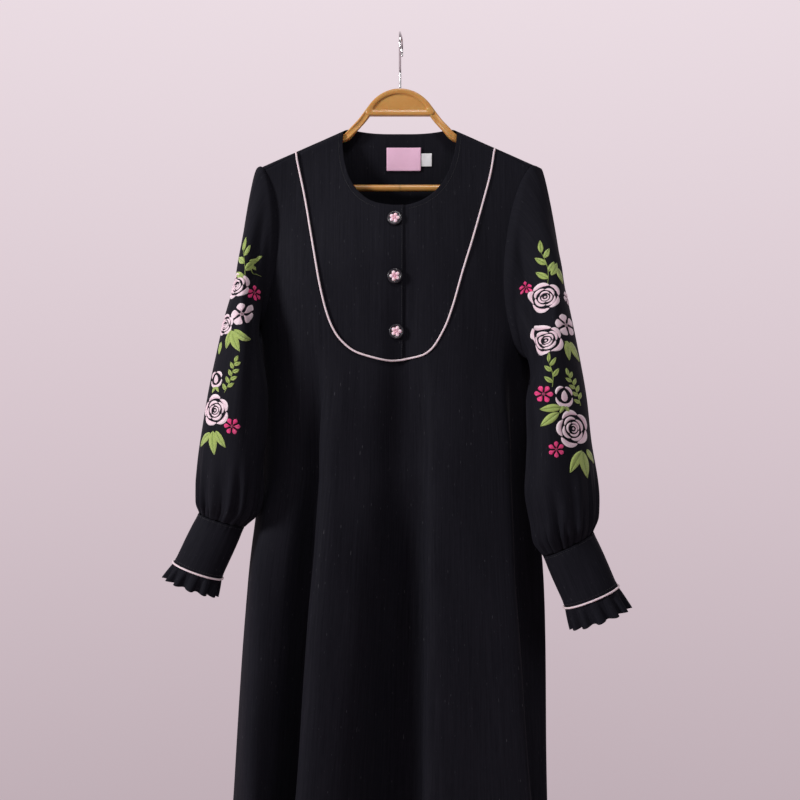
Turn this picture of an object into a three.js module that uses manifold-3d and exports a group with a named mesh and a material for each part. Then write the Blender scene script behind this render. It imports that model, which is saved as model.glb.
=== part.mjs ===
// A black crepe abaya on an amber plastic hanger, as it hangs from a clothes rail.
// Millimetres, +Z up. The front of the garment faces -Y, and +X is the viewer's right.
// The origin is the highest point inside the hook, where it rests on the rail.
import * as THREE from 'three';
import { mergeVertices } from 'three/addons/utils/BufferGeometryUtils.js';
import Module from 'manifold-3d';

const wasm = await Module();
wasm.setup();

// Cloth and seams
const WALL = 1.5;            // thickness of the crepe wall
const SEAM_GAP = 0.3;        // gap between two pieces that are sewn together
const ARMHOLE_GAP = 0.45;    // the same along the armholes, where the walls meet at an angle
const PIPING_RADIUS = 1.7;
const PIPING_SIDES = 5;
const PIPING_DIP = 8;        // the bib's piping comes down off the placket over this distance
const LABEL_WALL = 1.0;

// Shoulders and neck
const CREST_RADIUS = 9;      // the cloth bends over the hanger's arm
const NECK_HALF = 82;        // half of the neck's width
const NECK_TOP = -141.5;       // height of the side neck
const SHOULDER_HALF = 203;   // from the middle to the shoulder tip
const SHOULDER_SLOPE = 0.4417;
const FRONT_NECK_DROP = 114;
const BACK_NECK_DROP = 19;   // below the crest's own line, which bows up between the side necks
const NECK_POWER = 2.25;     // superellipse power of the neckline
const BACK_NECK_POWER = 1.8; // how slowly the back neckline falls from the side neck
const NECK_SHIFT = -6;       // the front neckline hangs a little to one side
const SEAM_AT_NECK = 5;      // how far in front of the crest the shoulder seam lies
const SEAM_AT_TIP = 13;

// Body
const HEM = -1490;
const CHEST_GROWTH = 215;    // drop from the crest at which the chest has its full depth
const CHEST_POWER = 2;
const FRONT_DEPTH = 55;
const BACK_DEPTH = 50;
const SIDE_Y = 12;           // the side seams lie a little behind the middle
const FOLDS_START = -436;
const FOLDS_FULL = -620;

// Placket and buttons
const PLACKET_EDGE = 5;      // the wearer's right half ends here, on top
const UNDERLAP_EDGE = -16;   // the other half ends here, underneath
const LIFT = WALL + SEAM_GAP;
const LIFT_FROM = -42;
const LIFT_TO = -22;
const BUTTON_RADIUS = 10.4;
const BUTTON_THICK = 3.6;
const BUTTON_STANDOFF = 0.1; // the cloth bends a little under each button
const FLOWER_RADIUS = 7.6;
const FLOWER_THICK = 1.8;
const BUTTONS = [
  { name: 'button_1', s: -7.6, z: -276 },
  { name: 'button_2', s: -7.2, z: -357 },
  { name: 'button_3', s: -5.0, z: -434 },
];

// The curved seam of the bib, as places on the front (s is the distance from the middle)
const BIB_SEAM = [
  { s: -147, z: -190 }, { s: -134.5, z: -246 }, { s: -121.8, z: -313 }, { s: -109, z: -381 },
  { s: -96.4, z: -423 }, { s: -80.3, z: -448.5 }, { s: -56, z: -465 }, { s: -15, z: -475 },
  { s: 19, z: -471 }, { s: 44, z: -460 }, { s: 61, z: -431.6 }, { s: 73.5, z: -398 },
  { s: 88, z: -347 }, { s: 103.5, z: -297 }, { s: 118.6, z: -246 }, { s: 130, z: -204 },
];
const BIB_LEFT_TOP = -149;
const BIB_RIGHT_TOP = 136;

// Armholes: how far the seam bows in from the shoulder tip on the front and on the back
const BACK_BOW_POWER = 0.8;
const ARMHOLES = {
  left: { sign: -1, underarm: -425, front: 28, back: 22, power: 0.7, skew: 1 },
  right: { sign: 1, underarm: -480, front: 57, back: 22, power: 0.5, skew: 0.62 },
};

// Side seams from the underarm down to where the fold lines take over
const SIDES = [
  { z: -197, left: 203, right: 203 },
  { z: -425, left: 203, right: 203 },
  { z: -452, left: 197, right: 199 },
  { z: -490, left: 194, right: 195 },
  { z: -640, left: 194, right: 194 },
];

// Fold lines of the front. Each row is a line that runs down the cloth from its place s under
// the arms; x and y are where it lies at the hip, the thigh, the knee and the hem.
const LEVELS = [-640, -800, -1110, HEM];
const FRONT_FOLDS = [
  { name: 'left seam', s: -203, x: [-194, -219, -239, -262], y: [12, 12, 12, 12] },
  { name: 'left turn', s: -198, x: [-193, -218, -239, -262], y: [5, -3, -8, -12] },
  { name: 'ridge a', s: -175, x: [-177, -203, -215, -234], y: [-16, -35, -48, -58] },
  { name: 'slope a', s: -145, x: [-148, -168, -186, -210], y: [-26, -33, -38, -44] },
  { name: 'valley ab', s: -118, x: [-112, -126, -145, -174], y: [-18, -12, -4, 0] },
  { name: 'edge b', s: -104, x: [-112, -124, -146, -177], y: [-46, -53, -60, -68] },
  { name: 'ridge b', s: -84, x: [-92, -105, -128, -159], y: [-56, -66, -78, -88] },
  { name: 'slope b', s: -45, x: [-48, -60, -82, -110], y: [-51, -56, -64, -70] },
  { name: 'valley bc', s: 10, x: [8, 3, -6, -18], y: [-40, -35, -30, -24] },
  { name: 'foot c', s: 34, x: [36, 35, 32, 27], y: [-34, -26, -16, -8] },
  { name: 'edge c', s: 42, x: [36, 35, 31, 26], y: [-49, -53, -58, -62] },
  { name: 'ridge c', s: 60, x: [52, 52, 50, 46], y: [-56, -62, -70, -78] },
  { name: 'flat c', s: 105, x: [104, 106, 112, 122], y: [-54, -60, -66, -72] },
  { name: 'edge d', s: 142, x: [150, 156, 176, 200], y: [-46, -52, -58, -64] },
  { name: 'turn d', s: 152, x: [156, 162, 185, 208], y: [-36, -40, -44, -48] },
  { name: 'foot d', s: 162, x: [157, 163, 187, 208], y: [-14, -12, -10, -6] },
  { name: 'side', s: 182, x: [176, 184, 198, 214], y: [-1, -1, -3, -6] },
  { name: 'right turn', s: 199, x: [193, 207, 212, 224], y: [5, 5, 3, 2] },
  { name: 'right seam', s: 203, x: [194, 208, 213, 225], y: [12, 12, 12, 12] },
];
const BACK_FOLDS = [
  { name: 'left seam', s: -203, x: [-194, -219, -239, -262], y: [12, 12, 12, 12] },
  { name: 'left turn', s: -196, x: [-192, -217, -238, -261], y: [24, 26, 28, 30] },
  { name: 'ridge a', s: -150, x: [-150, -168, -184, -204], y: [42, 50, 58, 66] },
  { name: 'valley ab', s: -110, x: [-110, -121, -132, -146], y: [40, 38, 36, 34] },
  { name: 'ridge b', s: -68, x: [-68, -76, -86, -98], y: [50, 60, 70, 80] },
  { name: 'valley bc', s: -24, x: [-24, -28, -32, -38], y: [45, 42, 40, 38] },
  { name: 'ridge c', s: 20, x: [20, 20, 22, 24], y: [51, 62, 74, 84] },
  { name: 'valley cd', s: 66, x: [65, 68, 72, 78], y: [45, 43, 40, 38] },
  { name: 'ridge d', s: 112, x: [112, 118, 126, 136], y: [47, 56, 66, 74] },
  { name: 'slope d', s: 156, x: [154, 162, 170, 182], y: [38, 40, 42, 46] },
  { name: 'right turn', s: 197, x: [192, 206, 211, 223], y: [24, 25, 26, 28] },
  { name: 'right seam', s: 203, x: [194, 208, 213, 225], y: [12, 12, 12, 12] },
];

// Sleeves, as ovals from the armhole down to the cuff. Each row has the outer and the inner
// end of one oval, and half its depth; x is counted outwards.
const SLEEVES = {
  left: [
    { t: 0, xOut: 203, yOut: 0, zOut: -197.4, xIn: 203, yIn: 12, zIn: -424.7, half: 24 },
    { t: 0.04, xOut: 209, yOut: -2, zOut: -208, xIn: 207, yIn: 9, zIn: -427, half: 28 },
    { t: 0.09, xOut: 218.5, yOut: -4, zOut: -236, xIn: 208, yIn: 0, zIn: -434, half: 34 },
    { t: 0.15, xOut: 222, yOut: -6, zOut: -270, xIn: 205, yIn: -14, zIn: -446, half: 41 },
    { t: 0.24, xOut: 226.5, yOut: -8, zOut: -312, xIn: 198, yIn: -28, zIn: -463, half: 48 },
    { t: 0.34, xOut: 235.5, yOut: -10, zOut: -356, xIn: 193, yIn: -37, zIn: -485, half: 54 },
    { t: 0.45, xOut: 249.5, yOut: -14, zOut: -408, xIn: 191, yIn: -41, zIn: -512, half: 57 },
    { t: 0.56, xOut: 260.5, yOut: -18, zOut: -463, xIn: 191, yIn: -41, zIn: -543, half: 58 },
    { t: 0.67, xOut: 273, yOut: -20, zOut: -525, xIn: 191, yIn: -39, zIn: -580, half: 57 },
    { t: 0.78, xOut: 283, yOut: -20, zOut: -587, xIn: 193, yIn: -35, zIn: -622, half: 55 },
    { t: 0.88, xOut: 287.5, yOut: -20, zOut: -640, xIn: 195, yIn: -30, zIn: -656, half: 52 },
    { t: 0.95, xOut: 289, yOut: -20, zOut: -674, xIn: 203, yIn: -25, zIn: -689, half: 44 },
    { t: 1, xOut: 286, yOut: -20, zOut: -690, xIn: 223, yIn: -20, zIn: -710, half: 26 },
  ],
  right: [
    { t: 0, xOut: 203, yOut: 0, zOut: -197.4, xIn: 203, yIn: 12, zIn: -479.7, half: 24 },
    { t: 0.04, xOut: 209, yOut: -3, zOut: -212, xIn: 208, yIn: 7, zIn: -481.5, half: 28 },
    { t: 0.09, xOut: 216, yOut: -7, zOut: -243, xIn: 205, yIn: -4, zIn: -488, half: 35 },
    { t: 0.15, xOut: 220, yOut: -10, zOut: -276, xIn: 194, yIn: -26, zIn: -497, half: 42 },
    { t: 0.24, xOut: 225, yOut: -14, zOut: -318, xIn: 174, yIn: -54, zIn: -510, half: 49 },
    { t: 0.34, xOut: 231, yOut: -20, zOut: -362, xIn: 156, yIn: -74, zIn: -528, half: 54 },
    { t: 0.45, xOut: 240, yOut: -28, zOut: -405, xIn: 149, yIn: -84, zIn: -553, half: 57 },
    { t: 0.56, xOut: 251, yOut: -38, zOut: -466, xIn: 153, yIn: -88, zIn: -587, half: 58 },
    { t: 0.67, xOut: 260, yOut: -48, zOut: -528, xIn: 160, yIn: -89, zIn: -620, half: 57 },
    { t: 0.78, xOut: 265, yOut: -58, zOut: -590, xIn: 168, yIn: -87, zIn: -657, half: 55 },
    { t: 0.88, xOut: 271, yOut: -68, zOut: -645, xIn: 177, yIn: -85, zIn: -695, half: 52 },
    { t: 0.95, xOut: 270.5, yOut: -77, zOut: -687, xIn: 182, yIn: -85, zIn: -723, half: 44 },
    { t: 1, xOut: 263, yOut: -84, zOut: -709, xIn: 196, yIn: -86, zIn: -742, half: 26 },
  ],
};
const SLEEVE_POWER = 2.15;
const ARMHOLE_FADE = 0.3;    // share of the sleeve over which the armhole's own shape fades
const SEAM_PUFF = 8.5;       // the cloth stands off the armhole before it falls
const CREST_PUFF = { left: 0.9, right: 0.2 }; // share of it left on the shoulder itself
const CREST_SPAN = 0.09;     // how far from the crest that share reaches, as a turn
const BACK_SHARE = 0.6;      // the back of a sleeve lies flatter than its front
const FOLD_SETTLES = 0.35;   // share of the sleeve over which its fold comes to the inner side
const GATHERS = 13;
const GATHER_DEPTH = 4.5;
const SLEEVE_FOLD = {        // the long fold down the sleeve's front, as turns of its rings
  left: { top: 0.4, low: 0.16, width: 0.1, depth: 11 },
  right: { top: 0.36, low: 0.17, width: 0.1, depth: 20 },
};

// Cuffs: the lower end of each, and the ruffle that hangs from it
const CUFFS = {
  left: { xOut: 322.5, zOut: -762, xIn: 256, zIn: -786, y: -20, half: 26, ruffle: 25 },
  right: { xOut: 296.5, zOut: -784, xIn: 226, zIn: -813, y: -88, half: 26, ruffle: 31 },
};
const RUFFLE_FLARE = 2.5;
const RUFFLE_WAVE = 3.8;

// Hanger
const ROD_RADIUS = 5.3;
const ROD_DROP = 8.0;        // from the shoulder crest down to the rod's middle
const ROD_END = 188;
const BAR_Z = -223;
const BAR_RADIUS = 5;
const HEAD_HALF = 50;
const HEAD_TOP = -79.5;
const HEAD_FOOT = -118.5;
const HEAD_THICK = 10;
const HEAD_CORNER = 6;
const HEAD_RIM = 7.5;
const HEAD_WEB = 4.6;
const WIRE_RADIUS = 1.7;
const HOOK_RADIUS = 20.7;    // to the middle of the wire
const SHANK_DEPTH = 8;
const SHANK_PLAY = 0.35;     // gap round the shank in its hole
const HOOK_TWIST = 3;        // the hook's free end stands to one side
const HOOK_BEND = { from: 205, to: -28, step: 13 };

// Labels inside the back of the neck
const NECK_LABEL = { left: -19.5, right: 30.5, top: -162, bottom: -194 };
const SIZE_LABEL = { left: 27, right: 46.5, top: -170, bottom: -188 };

const BLACK = new THREE.Color(0.012, 0.012, 0.014);
const materials = {
  crepe: new THREE.MeshStandardMaterial({ color: BLACK, roughness: 0.8 }),
  piping: new THREE.MeshStandardMaterial({ color: 0xe3c3c6, roughness: 0.6 }),
  amber: new THREE.MeshStandardMaterial({ color: 0xb9772c, roughness: 0.35 }),
  chrome: new THREE.MeshStandardMaterial({ color: 0xd0d2d6, roughness: 0.15, metalness: 1 }),
  button: new THREE.MeshStandardMaterial({ color: 0x18171c, roughness: 0.45 }),
  flower: new THREE.MeshStandardMaterial({ color: 0xe0607f, roughness: 0.6 }),
  pinkLabel: new THREE.MeshStandardMaterial({ color: 0xd98a96, roughness: 0.7 }),
  whiteLabel: new THREE.MeshStandardMaterial({ color: 0xe8e6e4, roughness: 0.7 }),
};

const group = new THREE.Group();
const clamp = (value, low, high) => Math.min(high, Math.max(low, value));
const mix = (a, b, t) => a + (b - a) * t;
const range = (count) => Array.from({ length: count + 1 }, (_, i) => i / count);

function smooth(from, to, value) {
  const t = clamp((value - from) / (to - from), 0, 1);
  return t * t * (3 - 2 * t);
}

// Cubic curve through the values at the places, with finite-difference slopes.
function through(places, values, place) {
  const last = places.length - 1;
  const up = places[last] > places[0];
  const at = up ? clamp(place, places[0], places[last]) : clamp(place, places[last], places[0]);
  let i = 0;
  while (i < last - 1 && (up ? at > places[i + 1] : at < places[i + 1])) i += 1;
  const slope = (k) => {
    const a = Math.max(0, k - 1);
    const b = Math.min(last, k + 1);
    return (values[b] - values[a]) / (places[b] - places[a]);
  };
  const span = places[i + 1] - places[i];
  const t = (at - places[i]) / span;
  const t2 = t * t;
  const t3 = t2 * t;
  return (2 * t3 - 3 * t2 + 1) * values[i] + (t3 - 2 * t2 + t) * span * slope(i)
    + (3 * t2 - 2 * t3) * values[i + 1] + (t3 - t2) * span * slope(i + 1);
}

// The body as a tube. A place on it is s, across, and v, down the cloth from the shoulder crest.

function crest(s) {
  const a = Math.abs(s);
  if (a >= NECK_HALF) return NECK_TOP - SHOULDER_SLOPE * (a - NECK_HALF);
  return NECK_TOP + SHOULDER_SLOPE * (NECK_HALF ** 2 - a ** 2) / (2 * NECK_HALF);
}

const QUARTER = CREST_RADIUS * Math.PI / 2;

function dropAt(v) {
  if (v >= QUARTER) return CREST_RADIUS + v - QUARTER;
  return CREST_RADIUS * (1 - Math.cos(v / CREST_RADIUS));
}

function downTo(s, z) {
  const drop = Math.max(0, crest(s) - z);
  if (drop >= CREST_RADIUS) return drop - CREST_RADIUS + QUARTER;
  return CREST_RADIUS * Math.acos(1 - drop / CREST_RADIUS);
}

const seamDown = (s) => mix(SEAM_AT_NECK, SEAM_AT_TIP,
  (Math.abs(s) - NECK_HALF) / (SHOULDER_HALF - NECK_HALF));

// Where the fold lines of a table run at height z, joined by a smooth curve across the cloth.
function foldPlace(table, s, z) {
  const places = table.map((row) => row.s);
  const index = table.map((row, i) => i);
  let i = 0;
  while (i < places.length - 2 && s > places[i + 1]) i += 1;
  const u = i + (s - places[i]) / (places[i + 1] - places[i]);
  const xs = table.map((row) => through(LEVELS, row.x, z));
  const ys = table.map((row) => through(LEVELS, row.y, z));
  return { x: through(index, xs, u), y: through(index, ys, u) };
}

function bodyPlace(front, s, v) {
  if (v < 0) return bodyPlace(!front, s, -v);
  const drop = dropAt(v);
  const z = crest(s) - drop;
  const grown = smooth(CREST_RADIUS, CHEST_GROWTH, drop);
  const bend = drop < CREST_RADIUS ? Math.sqrt(CREST_RADIUS ** 2 - (CREST_RADIUS - drop) ** 2)
    : CREST_RADIUS;
  const across = Math.min(1, Math.abs(s) / SHOULDER_HALF);
  const bulge = (1 - across ** CHEST_POWER) ** (1 / CHEST_POWER);
  const sideY = SIDE_Y * grown;
  const depth = front ? FRONT_DEPTH + SIDE_Y : BACK_DEPTH - SIDE_Y;
  const out = mix(bend, depth * bulge, grown);
  const zs = SIDES.map((row) => row.z);
  const side = SIDES.map((row) => (s < 0 ? row.left : row.right));
  let x = s * through(zs, side, z) / SHOULDER_HALF;
  let y = front ? sideY - out : sideY + out;
  const folded = smooth(FOLDS_START, FOLDS_FULL, z);
  if (folded > 0) {
    const fold = foldPlace(front ? FRONT_FOLDS : BACK_FOLDS, s, z);
    x = mix(x, fold.x, folded);
    y = mix(y, fold.y, folded);
  }
  const open = SEAM_GAP / 2 * smooth(0, 2 * QUARTER, v);
  return new THREE.Vector3(x, y + (front ? -open : open), z);
}

// A point of the body with its outward normal. Along the side seams the normal points sideways.
function bodyPoint(front, s, v) {
  const step = 0.2;
  const p = bodyPlace(front, s, v);
  if (Math.abs(s) >= SHOULDER_HALF && v > 3 * QUARTER) {
    return { p, n: new THREE.Vector3(Math.sign(s), 0, 0) };
  }
  const limit = Math.max(SHOULDER_HALF, Math.abs(s));
  const s0 = clamp(s - step, -limit, limit);
  const s1 = clamp(s + step, -limit, limit);
  const across = bodyPlace(front, s1, v).sub(bodyPlace(front, s0, v));
  const down = bodyPlace(front, s, v + step).sub(bodyPlace(front, s, v - step));
  const n = front ? down.cross(across) : across.cross(down);
  return { p, n: n.normalize() };
}

const moved = (point, out) => ({ p: point.p.clone().addScaledVector(point.n, out), n: point.n });

// A sheet collects grids of points with normals. Points at the same place become one.
class Sheet {
  constructor() {
    this.points = [];
    this.quads = [];
    this.found = new Map();
  }

  add(point) {
    const key = point.p.toArray().map((value) => Math.round(value * 200)).join();
    if (!this.found.has(key)) {
      this.found.set(key, this.points.length);
      this.points.push(point);
    }
    return this.found.get(key);
  }

  // Adds a grid of points. All its faces turn the way that most of the normals point.
  grid(rows) {
    const ids = rows.map((row) => row.map((point) => this.add(point)));
    const quads = [];
    let vote = 0;
    for (let i = 0; i + 1 < ids.length; i += 1) {
      for (let j = 0; j + 1 < ids[i].length; j += 1) {
        const quad = [ids[i][j], ids[i][j + 1], ids[i + 1][j + 1], ids[i + 1][j]];
        const [a, b, c, d] = quad.map((id) => this.points[id]);
        const normal = new THREE.Vector3().subVectors(c.p, a.p)
          .cross(new THREE.Vector3().subVectors(d.p, b.p));
        vote += Math.sign(normal.dot(a.n));
        quads.push(quad);
      }
    }
    if (vote < 0) for (const quad of quads) quad.reverse();
    this.quads.push(...quads);
    return this;
  }

  // Both faces of the wall, and a strip along every free edge.
  wall(thick) {
    const count = this.points.length;
    const positions = [];
    for (const side of [0.5, -0.5]) {
      for (const { p, n } of this.points) {
        positions.push(...p.clone().addScaledVector(n, side * thick).toArray());
      }
    }
    const triangles = [];
    for (const quad of this.quads) {
      const corners = quad.filter((id, i) => id !== quad[(i + 1) % 4]);
      if (corners.length < 3) continue;
      triangles.push([corners[0], corners[1], corners[2]]);
      if (corners.length > 3) triangles.push([corners[0], corners[2], corners[3]]);
    }
    const edges = new Map();
    for (const [a, b, c] of triangles) {
      for (const [from, to] of [[a, b], [b, c], [c, a]]) {
        if (edges.has(`${to},${from}`)) edges.delete(`${to},${from}`);
        else edges.set(`${from},${to}`, [from, to]);
      }
    }
    const index = triangles.flat();
    for (const [a, b, c] of triangles) index.push(a + count, c + count, b + count);
    for (const [from, to] of edges.values()) {
      index.push(to, from, from + count, to, from + count, to + count);
    }
    return geometryFrom(positions, index);
  }
}

function geometryFrom(positions, index) {
  const geometry = new THREE.BufferGeometry();
  geometry.setAttribute('position', new THREE.Float32BufferAttribute(positions, 3));
  geometry.setIndex(index);
  geometry.computeVertexNormals();
  return geometry;
}

function addMesh(name, geometry, material) {
  const mesh = new THREE.Mesh(geometry, material);
  mesh.name = name;
  group.add(mesh);
  return mesh;
}

// Coons patch between four edges, each a list of {s, v} places. bottom and top run along j,
// start and end run along i, from bottom to top.
function coons(bottom, top, start, end) {
  return start.map((_, i) => bottom.map((__, j) => {
    const a = j / (bottom.length - 1);
    const b = i / (start.length - 1);
    const value = (key) => mix(bottom[j][key], top[j][key], b) + mix(start[i][key], end[i][key], a)
      - mix(mix(bottom[0][key], bottom.at(-1)[key], a), mix(top[0][key], top.at(-1)[key], a), b);
    return { s: value('s'), v: value('v') };
  }));
}

// The bib's seam from the left shoulder round to the right one.
const bibKnots = [
  { s: BIB_LEFT_TOP, v: seamDown(BIB_LEFT_TOP) },
  ...BIB_SEAM.map((row) => ({ s: row.s, v: downTo(row.s, row.z) })),
  { s: BIB_RIGHT_TOP, v: seamDown(BIB_RIGHT_TOP) },
];
const bibIndex = bibKnots.map((row, i) => i);
const BIB_LAST = bibKnots.length - 1;

function bibSeam(w, side = 0) {
  const at = (value) => ({
    s: through(bibIndex, bibKnots.map((row) => row.s), clamp(value, 0, BIB_LAST)),
    v: through(bibIndex, bibKnots.map((row) => row.v), clamp(value, 0, BIB_LAST)),
  });
  const here = at(w);
  if (side === 0) return here;
  const a = at(w - 0.01);
  const b = at(w + 0.01);
  const long = Math.hypot(b.s - a.s, b.v - a.v);
  const gap = -side * SEAM_GAP / 2;
  return { s: here.s - gap * (b.v - a.v) / long, v: here.v + gap * (b.s - a.s) / long };
}

// The seam's place w where it crosses a given s, on its lower stretch.
function bibSeamAt(s) {
  let low = 3;
  let high = BIB_LAST - 3;
  for (let n = 0; n < 40; n += 1) {
    const middle = (low + high) / 2;
    if (bibSeam(middle).s < s) low = middle;
    else high = middle;
  }
  return (low + high) / 2;
}

// Armhole place: a is 1 at the underarm on the front, 0 on the crest and -1 behind.
function armhole(side, a) {
  const hole = ARMHOLES[side];
  const deep = downTo(SHOULDER_HALF, hole.underarm);
  const share = Math.max(0, 1 - Math.abs(a)) ** (a > 0 ? hole.skew : 1);
  const curve = Math.max(0, Math.sin(Math.PI * share)) ** (a > 0 ? hole.power : BACK_BOW_POWER);
  const bow = (a > 0 ? hole.front : hole.back) * curve;
  return { s: hole.sign * (SHOULDER_HALF - bow), v: a * deep };
}

// The places along an armhole where the body and the sleeve both have a point.
const FRONT_STEPS = 9;
const CREST_STEPS = 6;
const BACK_STEPS = 12;
const seamShare = (side) => SEAM_AT_TIP / downTo(SHOULDER_HALF, ARMHOLES[side].underarm);
const frontArm = (side) => range(FRONT_STEPS).map((t) => mix(1, seamShare(side), t));
const backArm = (side) => [
  ...range(CREST_STEPS).map((t) => mix(1, -1, t) * seamShare(side)),
  ...range(BACK_STEPS).slice(1).map((t) => mix(-seamShare(side), -1, t)),
];

// Columns down the front: every fold line, and one place between each two.
function columns(table) {
  const places = [];
  table.forEach((row, i) => {
    places.push(row.s);
    if (i + 1 < table.length) places.push((row.s + table[i + 1].s) / 2);
  });
  return places;
}

const CORNER_LEFT = -84;
const CORNER_RIGHT = 60;
const SKIRT_ROWS = 15;
const ROW_POWER = 1.15;      // the rows stand closer under the bib than at the hem

// The stops along the bib's seam, shared by the front panel and the bib.
const middleColumns = columns(FRONT_FOLDS).filter((s) => s >= CORNER_LEFT && s <= CORNER_RIGHT);
const cornerStops = [CORNER_LEFT, CORNER_RIGHT].map(bibSeamAt);
const bibStops = [
  ...range(FRONT_STEPS).map((t) => mix(0, cornerStops[0], t)),
  ...middleColumns.slice(1, -1).map(bibSeamAt),
  ...range(FRONT_STEPS).map((t) => mix(cornerStops[1], BIB_LAST, t)),
];

function skirtTop(s) {
  if (s >= CORNER_LEFT && s <= CORNER_RIGHT) return bibSeam(bibSeamAt(s), -1).v;
  const side = s < 0 ? 'left' : 'right';
  const corner = s < 0 ? CORNER_LEFT : CORNER_RIGHT;
  const inner = bibSeam(bibSeamAt(corner), -1).v;
  const outer = downTo(SHOULDER_HALF, ARMHOLES[side].underarm);
  return mix(inner, outer, (s - corner) / (ARMHOLES[side].sign * SHOULDER_HALF - corner));
}

function frontPanel() {
  const sheet = new Sheet();
  const point = ({ s, v }) => bodyPoint(true, s, v);
  const all = columns(FRONT_FOLDS);
  sheet.grid(range(SKIRT_ROWS).map((t) => all.map((s) => {
    const down = mix(skirtTop(s), downTo(s, HEM), t ** ROW_POWER);
    return point({ s, v: down });
  })));
  for (const side of ['left', 'right']) {
    const left = side === 'left';
    const corner = left ? CORNER_LEFT : CORNER_RIGHT;
    const outer = all.filter((s) => (left ? s <= corner : s >= corner));
    if (!left) outer.reverse();
    const bottom = outer.map((s) => ({ s, v: skirtTop(s) }));
    const arm = frontArm(side).map((a) => armhole(side, a));
    arm[FRONT_STEPS].v += SEAM_GAP / 2;
    const from = bibSeamAt(corner);
    const to = left ? 0 : BIB_LAST;
    const seam = range(FRONT_STEPS).map((t) => bibSeam(mix(from, to, t), -1));
    seam[FRONT_STEPS].v += SEAM_GAP / 2;
    seam[0] = bottom.at(-1);
    const top = bottom.map((_, j) => {
      const s = mix(arm[FRONT_STEPS].s, seam[FRONT_STEPS].s, j / (bottom.length - 1));
      return { s, v: seamDown(s) + SEAM_GAP / 2 };
    });
    sheet.grid(coons(bottom, top, arm, seam).map((row) => row.map(point)));
  }
  return sheet.wall(WALL);
}

function neckDown(front, turn) {
  const side = Math.cos(turn);
  const s = -NECK_HALF * Math.sign(side) * Math.abs(side) ** (2 / NECK_POWER);
  if (front) {
    const drop = Math.sin(turn) ** (2 / NECK_POWER);
    const z = crest(NECK_HALF) - mix(dropAt(SEAM_AT_NECK), FRONT_NECK_DROP, drop);
    return { s: s + NECK_SHIFT * drop, v: downTo(s, z) };
  }
  const back = Math.sin(turn) ** BACK_NECK_POWER;
  return { s, v: mix(-SEAM_AT_NECK, downTo(0, crest(0) - BACK_NECK_DROP), back) };
}

const BIB_ROWS = 6;

function bibHalf(side) {
  const left = side === 'left';
  const edge = left ? PLACKET_EDGE : UNDERLAP_EDGE;
  const turnEnd = Math.acos(-Math.sign(edge) * (Math.abs(edge) / NECK_HALF) ** (NECK_POWER / 2));
  const turn0 = left ? 0 : Math.PI;
  const w1 = bibSeamAt(edge);
  const stops = left ? [...bibStops.filter((w) => w < w1 - 0.05), w1]
    : [...bibStops.filter((w) => w > w1 + 0.05).reverse(), w1];
  const last = stops.length - 1;
  const bottom = stops.map((w) => bibSeam(w, 1));
  bottom[0].v += SEAM_GAP / 2;
  bottom[last].s = edge;
  const top = range(last).map((t) => neckDown(true, mix(turn0, turnEnd, t)));
  top[0].v += SEAM_GAP / 2;
  top[last].s = edge;
  const start = range(BIB_ROWS).map((t) => {
    const s = mix(bottom[0].s, top[0].s, t);
    return { s, v: seamDown(s) + SEAM_GAP / 2 };
  });
  const end = range(BIB_ROWS).map((t) => ({
    s: edge,
    v: mix(bottom[last].v, top[last].v, t),
  }));
  const lifted = ({ s, v }) => moved(bodyPoint(true, s, v), left ? lift(s) : 0);
  return new Sheet().grid(coons(bottom, top, start, end).map((row) => row.map(lifted))).wall(WALL);
}

const lift = (s) => LIFT * smooth(LIFT_FROM, LIFT_TO, s);

function backPanel() {
  const sheet = new Sheet();
  const all = columns(BACK_FOLDS);
  const point = ({ s, v }) => bodyPoint(false, s, v);
  const low = all.map((s) => {
    const t = (s / SHOULDER_HALF + 1) / 2;
    const ends = ['left', 'right'].map((side) => downTo(SHOULDER_HALF, ARMHOLES[side].underarm));
    return { s, v: mix(ends[0], ends[1], t) };
  });
  sheet.grid(range(SKIRT_ROWS).map((t) => low.map((place) => point({
    s: place.s,
    v: mix(place.v, downTo(place.s, HEM), t ** ROW_POWER),
  }))));
  const arms = ['left', 'right'].map((side) => backArm(side).reverse().map((a) => {
    const place = armhole(side, a);
    return { s: place.s, v: -place.v };
  }));
  const shoulderCount = 7;
  const neckCount = all.length - 1 - 2 * shoulderCount;
  const shoulder = (sign) => range(shoulderCount).map((t) => {
    const s = sign * mix(SHOULDER_HALF, NECK_HALF, t);
    return { s, v: -seamDown(s) + SEAM_GAP / 2 };
  });
  const neck = range(neckCount).map((t) => neckDown(false, Math.PI * t));
  neck[0].v += SEAM_GAP / 2;
  neck[neckCount].v += SEAM_GAP / 2;
  const top = [...shoulder(-1), ...neck.slice(1, -1), ...shoulder(1).reverse()];
  for (const arm of arms) arm.at(-1).v += SEAM_GAP / 2;
  top[0] = arms[0].at(-1);
  top[top.length - 1] = arms[1].at(-1);
  sheet.grid(coons(low, top, arms[0], arms[1]).map((row) => row.map(point)));
  return sheet.wall(WALL);
}

// Sleeve

function station(side, t) {
  const rows = SLEEVES[side];
  const places = rows.map((row) => row.t);
  const at = (key) => through(places, rows.map((row) => row[key]), t);
  const sign = ARMHOLES[side].sign;
  return {
    outer: new THREE.Vector3(sign * at('xOut'), at('yOut'), at('zOut')),
    inner: new THREE.Vector3(sign * at('xIn'), at('yIn'), at('zIn')),
    half: at('half'),
    back: mix(1, BACK_SHARE, smooth(0.04, 0.2, t) * (1 - smooth(0.8, 1, t))),
  };
}

// The gap turns from sideways to downwards only close to the underarm.
const UNDERARM_POWER = 12;

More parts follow.
